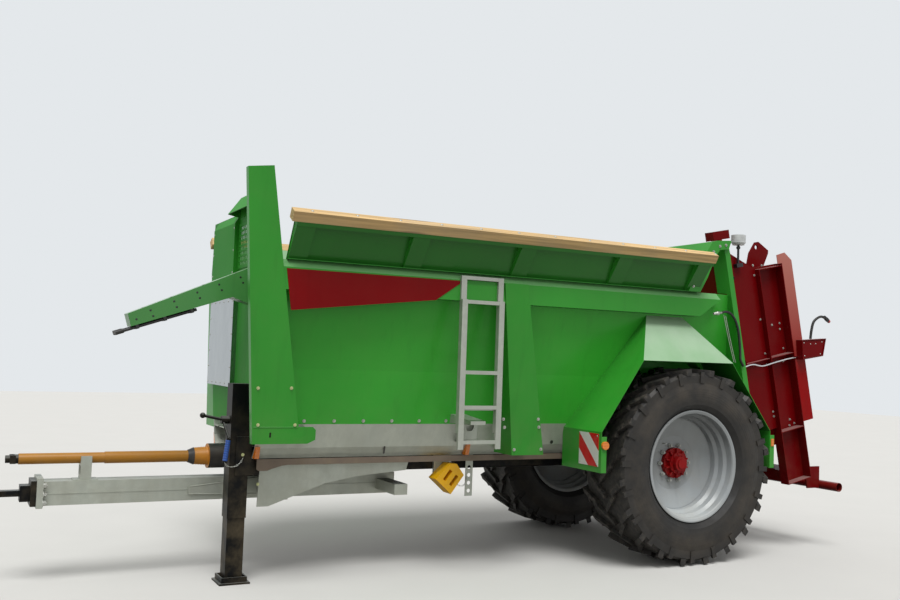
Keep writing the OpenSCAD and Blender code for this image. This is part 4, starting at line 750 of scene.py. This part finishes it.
# edge screws of the front wall, its cover and the polished panel
frontScrews = {
    "Head Radius": 0.009, "Head Height": 0.004, "x": 3.9763,
    "panelYs": (-0.775, -0.045), "panelStep": 0.15, "panelZs": (1.515, 2.215, 0.14),
    "coverYs": (-0.78, -0.104), "coverZs": (2.27, 2.84, 0.19),
}
between = along(*frontScrews["panelYs"], frontScrews["panelStep"])[1:-1]
spots = [(y, z) for z in along(*frontScrews["panelZs"]) for y in frontScrews["panelYs"]]
spots += [(y, z) for y in between for z in frontScrews["panelZs"][:2]]
spots += [(y, z) for z in along(*frontScrews["coverZs"]) for y in frontScrews["coverYs"]]
places = [(atAxle(frontScrews["x"], y, z), forward) for y, z in spots]
grow("frontScrews", "head", places, frontScrews, "bolt")
print("fasteners placed")

# weld beads of the gussets and the coupling plate: their y, then each bead's ends
welds = {
    "Radius": 0.0042, "Ripple": 0.0035, "Step": 0.006,
    "gusset": (0.0995, [[(3.62, 0.612), (4.29, 0.632)], [(4.299, 0.634), (4.299, 0.688)],
                        [(4.29, 0.691), (3.62, 0.758)]]),
    "plate": (0.0905, [[(5.385, 0.584), (5.385, 0.757)]]),
}
lines = [[atAxle(x, side * y, z) for x, z in bead] for side in sides.values()
         for y, beads in (welds["gusset"], welds["plate"]) for bead in beads]
grow("weldBeads", "pipe", lines, welds, "zinc")
print("welds placed")

# round-link chains of the scraper floor with their slats
scraper = {"Link Length": 0.078, "Link Width": 0.034, "Wire Radius": 0.0060, "pitch": 0.066,
           "ys": (-0.500, -0.060, 0.060, 0.500), "rear": -0.767, "front": 3.774, "z": 1.071, "turn": 0.066}
slats = {"Slat Length": 0.522, "Slat Width": 0.050, "Slat Height": 0.026, "y": 0.291, "rise": 0.082,
         "count": 11}
floorLength = scraper["front"] - scraper["rear"]
halfLoop = floorLength + math.pi * scraper["turn"]
linkCount = 2 * round(halfLoop / scraper["pitch"])


def onLoop(share, y):
    # place and way on the chain's loop; its lower half is the upper one turned over
    way = 1 if share < 0.5 else -1
    gone = share * 2 * halfLoop - (0 if share < 0.5 else halfLoop)
    middleX = (scraper["front"] + scraper["rear"]) / 2
    a = max(0, gone - floorLength) / scraper["turn"]
    reach = min(gone, floorLength) - floorLength / 2 + scraper["turn"] * math.sin(a)
    rise = scraper["turn"] * math.cos(a)
    return (atAxle(middleX + way * reach, y, scraper["z"] + way * rise),
            way * Vector((math.cos(a), 0, -math.sin(a))))


places = [onLoop(i / linkCount, y) for y in scraper["ys"] for i in range(linkCount)]
chainLinks = grow("scraperLinks", "link", places, scraper, "chain")
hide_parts("scraper_chains")
places = []
for i in range(slats["count"]):
    x = scraper["rear"] + (i + 0.5) * floorLength / slats["count"]
    places += [(atAxle(x, side * slats["y"], scraper["z"] + way * slats["rise"]), Vector((0, 0, way)))
               for side in sides.values() for way in (1, -1)]
grow("scraperSlats", "slat", places, slats, "chain")
print("scraper floor chained:", linkCount * len(scraper["ys"]), "links")


def turned(name, profile, start, end, look, slotName=None, corners=32, bodyName="chassis"):
    # profile is (share along the axis, radius); the ends are closed
    axis = (end - start).normalized()
    side = axis.orthogonal().normalized()
    other = axis.cross(side)
    points, faces = [], []
    for share, radius in profile:
        middle = start.lerp(end, share)
        for k in range(corners):
            a = 2 * math.pi * k / corners
            points.append(middle + radius * (math.cos(a) * side + math.sin(a) * other))
    for i in range(len(profile) - 1):
        for k in range(corners):
            n = (k + 1) % corners
            faces.append((i * corners + k, i * corners + n, (i + 1) * corners + n, (i + 1) * corners + k))
    faces.append(tuple(reversed(range(corners))))
    faces.append(tuple(range((len(profile) - 1) * corners, len(profile) * corners)))
    mesh = bpy.data.meshes.new(name)
    mesh.from_pydata([tuple(p) for p in points], [], faces)
    mesh.polygons.foreach_set("use_smooth", [len(p.vertices) == 4 for p in mesh.polygons])
    mesh.materials.append(finish[look])
    return place(bpy.data.objects.new(name, mesh), slotName, bodyName)


# ribbed grip on the jack's crank; a rib's foot and top are shares of the grip's length
crankGrip = {"radius": 0.0195, "endRadius": 0.0156, "ribs": 9, "ribDepth": 0.0022, "ribFoot": 0.045,
             "ribTop": 0.030, "start": (4.1224, 0.576, 1.105), "end": (4.1408, 0.576, 0.945)}
foot, top, high = crankGrip["ribFoot"], crankGrip["ribTop"], crankGrip["radius"]
low = high - crankGrip["ribDepth"]
profile = [(0.0, crankGrip["endRadius"])]
for i in range(crankGrip["ribs"]):
    at = (i + 0.5) / crankGrip["ribs"]
    profile += [(at - foot, low), (at - top, high), (at + top, high), (at + foot, low)]
profile.append((1.0, crankGrip["endRadius"]))
start, end = atAxle(*crankGrip["start"]), atAxle(*crankGrip["end"])
turned("crankGrip", profile, start, end, "grip", "black_plastic")
print("grip placed")


def prism(name, outline, depths, toFrame, look, slotName=None, edge=0.0015, side=1):
    # flat outline given thickness along the middle value of toFrame, with broken edges
    build = bmesh.new()
    near, far = ([build.verts.new(toFrame(a, side * depth, b)) for a, b in outline] for depth in depths)
    build.faces.new(near)
    build.faces.new(list(reversed(far)))
    for i in range(len(outline)):
        n = (i + 1) % len(outline)
        build.faces.new((near[i], far[i], far[n], near[n]))
    bmesh.ops.recalc_face_normals(build, faces=build.faces)
    mesh = bpy.data.meshes.new(name)
    build.to_mesh(mesh)
    build.free()
    mesh.materials.append(finish[look])
    piece = bpy.data.objects.new(name, mesh)
    bevel = piece.modifiers.new("edges", "BEVEL")
    bevel.width = edge
    bevel.segments = 2
    bevel.limit_method = "ANGLE"
    return place(piece, slotName)


def oblong(x0, x1, z0, z1):
    return [(x0, z0), (x1, z0), (x1, z1), (x0, z1)]


def curved(points, count):
    # smooth line through the points, with count steps from each to the next
    ends = [points[0] * 2 - points[1]] + points + [points[-1] * 2 - points[-2]]
    made = []
    for i in range(1, len(ends) - 2):
        a, b, c, d = ends[i - 1:i + 3]
        for k in range(count):
            t = k / count
            made.append(0.5 * (2 * b + (c - a) * t + (2 * a - 5 * b + 4 * c - d) * t * t
                               + (3 * b - 3 * c + d - a) * t * t * t))
    return made + [points[-1]]


def hose(name, points, diameter, look):
    line = curved(points, 4)
    data = bpy.data.curves.new(name, "CURVE")
    data.dimensions = "3D"
    data.bevel_depth = diameter / 2
    data.bevel_resolution = 3
    data.use_fill_caps = True
    spline = data.splines.new("POLY")
    spline.points.add(len(line) - 1)
    for point, at in zip(spline.points, line):
        point.co = (*at, 1.0)
    data.materials.append(finish[look])
    piece = place(bpy.data.objects.new(name, data))


# hoses and thin lines of the gate's cylinders, down the outer face of the guide
gateHoses = {
    "diameter": 0.024, "y": 1.046, "lineY": 1.036, "Radius": 0.0035,
    "route": [(-0.470, 2.318), (-0.520, 2.330), (-0.580, 2.318), (-0.640, 2.265), (-0.685, 2.17),
              (-0.706, 2.066), (-0.718, 1.95), (-0.724, 1.871), (-0.764, 1.814)],
    "lines": [[(-0.506, 2.299), (-0.576, 2.061), (-0.646, 1.850)],
              [(-0.530, 2.290), (-0.600, 2.050), (-0.668, 1.846)]],
    "fitting": [(0.0, 0.010), (0.05, 0.013), (0.30, 0.013), (0.32, 0.018), (0.62, 0.018), (0.64, 0.012),
                (1.0, 0.011)],
    "fittingEnds": [(-0.366, 2.302), (-0.475, 2.319)],
}
lines = []
for sideName, side in sides.items():
    y, lineY = side * gateHoses["y"], side * gateHoses["lineY"]
    route = [atAxle(x, y, z) for x, z in gateHoses["route"]]
    hose("gateHose_" + sideName, route, gateHoses["diameter"], "hose")
    start, end = (atAxle(x, y, z) for x, z in gateHoses["fittingEnds"])
    turned("gateFitting_" + sideName, gateHoses["fitting"], start, end, "bolt", "galvanised", 16)
    lines += [curved([atAxle(x, lineY, z) for x, z in row], 6) for row in gateHoses["lines"]]
grow("gateLines", "pipe", lines, gateHoses, "bolt", slotName=None)

# ledge and rod across the spreading unit's sides
unitRod = {
    "Radius": 0.008, "y": 1.020,
    "path": [(-0.105, 0.802), (-0.216, 0.806), (-0.34, 0.768), (-0.50, 0.772), (-0.70, 0.776),
             (-0.86, 0.772)],
}
unitLedge = {
    "ys": (0.9563, 0.9975),
    "outline": [(-0.156, 0.812), (-0.481, 0.812), (-0.481, 0.820), (-0.164, 0.820), (-0.164, 0.860),
                (-0.156, 0.860)],
}
lines = []
for sideName, side in sides.items():
    prism("unitLedge_" + sideName, unitLedge["outline"], unitLedge["ys"], leaning, "red", "red_paint",
          side=side)
    lines.append(curved([leaning(x, side * unitRod["y"], z) for x, z in unitRod["path"]], 6))
grow("unitRods", "pipe", lines, unitRod, "rod")

# rear lamps on their boxes, and a marker lamp on a bent rubber stalk
rearLamps = {
    "box": [(-1.196, 0.896), (-1.119, 0.728)], "lensYs": (1.024, 1.072),
    "lenses": [("redLens", 0.08, 0.50), ("amber", 0.53, 0.92)],     # look, start and end down the box
    "lensSeat": 0.0003, "lensRim": 0.012, "lensFace": 0.018, "lensInset": 0.04, "lensEdge": 0.003,
    "coverYs": (1.0760, 1.0805),
    "cover": [(-0.862, 0.931), (-1.186, 0.889), (-1.114, 0.736), (-0.840, 0.750)],
    "screwY": 1.0806,
    "screws": [(-0.885, 0.905), (-0.975, 0.878), (-1.048, 0.868), (-1.140, 0.870), (-0.870, 0.775),
               (-1.095, 0.755)],
    "Head Radius": 0.007, "Head Height": 0.004,
}
markerStalk = {
    "Radius": 0.013, "y": 1.055,
    "path": [(-1.010, 0.925), (-1.045, 1.015), (-1.088, 1.085), (-1.153, 1.116), (-1.215, 1.120),
             (-1.272, 1.088)],
    "whiteTip": (-1.244, 1.118), "top": (-1.262, 1.100), "low": (-1.300, 1.062), "redTip": (-1.318, 1.044),
    "socket": [(0, 0.017), (0.3, 0.020), (0.8, 0.020), (1, 0.016)],
    "glass": [(0, 0.017), (0.6, 0.017), (0.9, 0.012), (1, 0.006)], "corners": 20,
}


def alongBox(share, off):
    # place down the box's rear face, and this far off it
    (x0, z0), (x1, z1) = rearLamps["box"]
    length = math.hypot(x1 - x0, z1 - z0)
    return (x0 + (x1 - x0) * share - off * (z0 - z1) / length,
            z0 + (z1 - z0) * share - off * (x1 - x0) / length)


def lensOutline(start, end):
    seat, rim, face, inset = (rearLamps["lens" + part] for part in ("Seat", "Rim", "Face", "Inset"))
    return [alongBox(start, seat), alongBox(start, rim), alongBox(start + inset, face),
            alongBox(end - inset, face), alongBox(end, rim), alongBox(end, seat)]


lines, screws = [], []
for sideName, side in sides.items():
    for look, start, end in rearLamps["lenses"]:
        prism(f"rearLamp_{look}_{sideName}", lensOutline(start, end), rearLamps["lensYs"], leaning, look,
              edge=rearLamps["lensEdge"], side=side)
    y, corners = side * markerStalk["y"], markerStalk["corners"]
    lines.append(curved([leaning(x, y, z) for x, z in markerStalk["path"]], 6))
    ends = [markerStalk[part] for part in ("whiteTip", "top", "low", "redTip")]
    whiteTip, top, low, redTip = (leaning(x, y, z) for x, z in ends)
    turned("stalkFoot_" + sideName, markerStalk["socket"], top, low, "blackPlastic", "black_plastic",
           corners)
    turned("stalkLens_" + sideName, markerStalk["glass"], low, redTip, "redLens", corners=corners)
    turned("stalkLamp_" + sideName, markerStalk["glass"], top, whiteTip, "beacon", corners=corners)
    prism("lampCover_" + sideName, rearLamps["cover"], rearLamps["coverYs"], leaning, "red", "red_paint",
          side=side)
    screws += [(leaning(x, side * rearLamps["screwY"], z), outward(side)) for x, z in rearLamps["screws"]]
grow("lampScrews", "head", screws, rearLamps, "bolt")
grow("lampStalks", "pipe", lines, markerStalk, "hose", slotName=None)
print("rear fittings placed")

# latch and step of the ladder on the sill: each plate's outline and its two ys
latch = {
    "latchPlate": ([(2.000, 1.100), (2.142, 1.100), (2.142, 1.287), (2.112, 1.287), (2.112, 1.205),
                    (2.096, 1.178), (2.070, 1.172), (2.046, 1.182), (2.034, 1.205), (2.034, 1.262),
                    (2.000, 1.287)], (0.716, 0.724)),
    "latchWeb": (oblong(2.000, 2.008, 1.100, 1.270), (0.660, 0.716)),
    "latchStep": (oblong(1.937, 2.183, 1.080, 1.086), (0.655, 0.745)),
}
for name, (outline, ys) in latch.items():
    prism(name, outline, ys, atAxle, "zinc", "galvanised")


def slotOutline(x, low, high, width):
    # upright slot with round ends
    r = width / 2
    turns = [i * math.pi / 6 for i in range(7)]
    arc = [(x + r * math.cos(a), high - r + r * math.sin(a)) for a in turns]
    return arc + [(x - r * math.cos(a), low + r - r * math.sin(a)) for a in turns]


def onSill(x, depth, z):
    return atAxle(x, math.copysign(wallY(z), depth) + depth, z)


def onPost(x, depth, z):
    return atAxle(x, postY(z) + depth, z)


# slots, drawn as thin black plates of painted shade: each one's x, low z, high z and width
slots = {"depths": (0.0002, 0.0012), "edge": 0.0004, "column": (3.907, 1.156, 1.196, 0.014),
         "sill": [(2.830, 0.985, 1.050, 0.016), (1.176, 1.048, 1.082, 0.034)]}
for sideName, side in sides.items():
    for number, sizes in enumerate(slots["sill"], 1):
        prism(f"sillSlotShade_{number}_{sideName}", slotOutline(*sizes), slots["depths"], onSill, "blackPlastic",
              edge=slots["edge"], side=side)
prism("columnSlotShade", slotOutline(*slots["column"]), slots["depths"], onPost, "black", edge=slots["edge"])

# raised seam across the left column's foot
columnSeam = {"outline": oblong(3.692, 4.044, 1.2300, 1.2365), "depths": (0.0003, 0.0030), "edge": 0.0010}
prism("columnSeam", columnSeam["outline"], columnSeam["depths"], onPost, "green", "green_paint",
      columnSeam["edge"])

# turned-down lip under each sill, in a dull, darker and browner zinc
sillLip = {
    "ys": (0.6080, 0.6120),
    "outline": [(3.900, 0.9585), (3.900, 0.880), (3.880, 0.866), (3.815, 0.866), (3.770, 0.882),
                (3.690, 0.904), (3.640, 0.909), (0.930, 0.909), (0.930, 0.9585)],
}
for sideName, side in sides.items():
    prism("sillLip_" + sideName, sillLip["outline"], sillLip["ys"], atAxle, "brownZinc", "galvanised",
          side=side)

# holes of the arm, drawn as flat black heads of painted shade, for the dark inside of the hollow arm; its
# top starts at topX and topZ and falls towards the front
armHoles = {
    "Head Radius": 0.0085, "Head Height": 0.0012, "sideYs": {1: 0.5603, -1: 0.3997},
    "side": [(4.060, 2.330), (4.082, 2.372), (4.225, 2.262), (4.247, 2.304), (4.390, 2.190), (4.412, 2.232),
             (4.560, 2.112), (4.582, 2.154), (4.730, 2.035), (4.752, 2.077), (4.850, 2.005)],
    "top": [(4.11, 0.50), (4.11, 0.53), (4.36, 0.50), (4.36, 0.53), (4.60, 0.50), (4.60, 0.53),
            (4.80, 0.48)],
    "topX": 3.9363, "topZ": 2.4865, "fall": 0.4506,
}
places = [(atAxle(x, y, z), outward(side)) for side, y in armHoles["sideYs"].items()
          for x, z in armHoles["side"]]
upArm = Vector((armHoles["fall"], 0, 1)).normalized()
places += [(atAxle(x, y, armHoles["topZ"] - (x - armHoles["topX"]) * armHoles["fall"]), upArm)
           for x, y in armHoles["top"]]
grow("armHoles", "head", places, armHoles, "blackPlastic", slotName=None)

# screws of the warning plates
plateScrews = {"Head Radius": 0.008, "Head Height": 0.003, "x": -0.7807, "ys": (0.950, 1.192),
               "zs": (0.925, 1.167)}
places = [(Vector((plateScrews["x"], side * y, z)), forward) for side in sides.values()
          for y in plateScrews["ys"] for z in plateScrews["zs"]]
grow("plateScrews", "head", places, plateScrews, "bolt")

# thin chains: the one on the jack's crank, and the chock's to its strap
thinChain = {
    "Link Length": 0.026, "Link Width": 0.013, "Wire Radius": 0.0019, "pitch": 0.0215,
    "runs": [[(4.140, 0.577, 0.930), (4.122, 0.578, 0.908), (4.090, 0.579, 0.900), (4.050, 0.580, 0.908),
              (4.018, 0.579, 0.935), (4.002, 0.578, 0.962)],
             [(2.010, 0.578, 0.760), (2.045, 0.600, 0.700), (2.110, 0.606, 0.705), (2.160, 0.600, 0.800)]],
}
places = []
for run in thinChain["runs"]:
    line = curved([atAxle(*p) for p in run], 24)
    gone, nextAt = 0.0, 0.0
    for p, q in zip(line, line[1:]):
        gone += (q - p).length
        if gone >= nextAt:
            places.append((q, (q - p).normalized()))
            nextAt += thinChain["pitch"]
grow("thinChains", "link", places, thinChain, "bolt")

# tyre valves in the rims
valve = {"radius": 0.300, "angle": math.radians(40), "y": 1.060, "length": 0.045,
         "profile": [(0, 0.009), (0.25, 0.009), (0.3, 0.0045), (0.8, 0.0045), (0.82, 0.006), (1, 0.005)]}
footX = valve["radius"] * math.cos(valve["angle"])
footZ = axleZ + valve["radius"] * math.sin(valve["angle"])
for sideName, side in sides.items():
    foot = atAxle(footX, side * valve["y"], footZ)
    turned("valve_" + sideName, valve["profile"], foot, foot + valve["length"] * outward(side), "bolt",
           corners=12, bodyName="wheel_" + sideName)
print("small parts placed")

# floor, light and camera
stageLook = {"floorSize": 60.0, "floorColour": "#C9C8C4", "bounceColour": "#84817A", "skyColour": "#E4E8EB",
             "skyStrength": 0.60, "sunStrength": 2.6, "sunAngle": math.radians(32),
             "sunFrom": (0.30, 0.70, 1.5)}


def pale(name, code, bounceCode):
    # pale where it is seen, a little darker where it lights the machine from below
    graph = newFinish(name)
    tone, shade = mottled(graph, linear(code), 0.97, 1.03, 1.5, 4.0)
    ray = graph.add("ShaderNodeLightPath").outputs
    seen = graph.math("MAXIMUM", ray["Is Camera Ray"], ray["Is Glossy Ray"])
    return dress(graph, graph.mix(seen, linear(bounceCode), shade), graph.remap(tone, 0, 1, 0.85, 0.95))


half = stageLook["floorSize"] / 2
floorMesh = bpy.data.meshes.new("studioFloor")
floorMesh.from_pydata([(-half, -half, 0), (half, -half, 0), (half, half, 0), (-half, half, 0)], [],
                      [(0, 1, 2, 3)])
floorMesh.materials.append(pale("studioFloor", stageLook["floorColour"], stageLook["bounceColour"]))
studioFloor = inScene(bpy.data.objects.new("studioFloor", floorMesh))
studioFloor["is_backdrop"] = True

world = bpy.data.worlds.new("studioSky")
bpy.context.scene.world = world
world.use_nodes = True
world.node_tree.nodes.clear()
sky = Graph(world.node_tree)
ray = sky.add("ShaderNodeLightPath").outputs
mirrored = sky.math("MAXIMUM", ray["Is Glossy Ray"], ray["Is Transmission Ray"])
seen = sky.math("MAXIMUM", ray["Is Camera Ray"], mirrored)
light = sky.out("ShaderNodeBackground", {"Color": (1, 1, 1, 1), "Strength": stageLook["skyStrength"]})
shown = sky.out("ShaderNodeBackground", {"Color": linear(stageLook["skyColour"]), "Strength": 1.0})
both = sky.out("ShaderNodeMixShader", {0: seen, 1: light, 2: shown})
sky.add("ShaderNodeOutputWorld", {"Surface": both})

sunData = bpy.data.lights.new("softSun", "SUN")
sunData.energy = stageLook["sunStrength"]
sunData.angle = stageLook["sunAngle"]
softSun = inScene(bpy.data.objects.new("softSun", sunData))
softSun.rotation_mode = "QUATERNION"
softSun.rotation_quaternion = Vector(stageLook["sunFrom"]).to_track_quat("Z", "Y")

photoCamera = {"lens": 38.0, "sensor": 36.0, "place": (6.071, 7.901, 1.812), "yaw": -117.66, "pitch": 3.38,
               "roll": 1.99, "farthest": 200.0}
yaw, pitch, roll = (math.radians(photoCamera[turn]) for turn in ("yaw", "pitch", "roll"))
ahead = Vector((math.cos(yaw) * math.cos(pitch), math.sin(yaw) * math.cos(pitch), math.sin(pitch)))
level = ahead.cross(Vector((0, 0, 1))).normalized()
upright = level.cross(ahead)
right = math.cos(roll) * level + math.sin(roll) * upright
up = math.cos(roll) * upright - math.sin(roll) * level
cameraData = bpy.data.cameras.new("photoCamera")
cameraData.lens = photoCamera["lens"]
cameraData.sensor_width = photoCamera["sensor"]
cameraData.clip_end = photoCamera["farthest"]
camera = inScene(bpy.data.objects.new("photoCamera", cameraData))
turnedFrame = Matrix((right, up, -ahead)).transposed().to_4x4()
camera.matrix_world = Matrix.Translation(atAxle(*photoCamera["place"])) @ turnedFrame
bpy.context.scene.camera = camera
bpy.context.scene.view_settings.view_transform = "Standard"
print("stage set")

bpy.context.view_layer.update()
low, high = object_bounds()
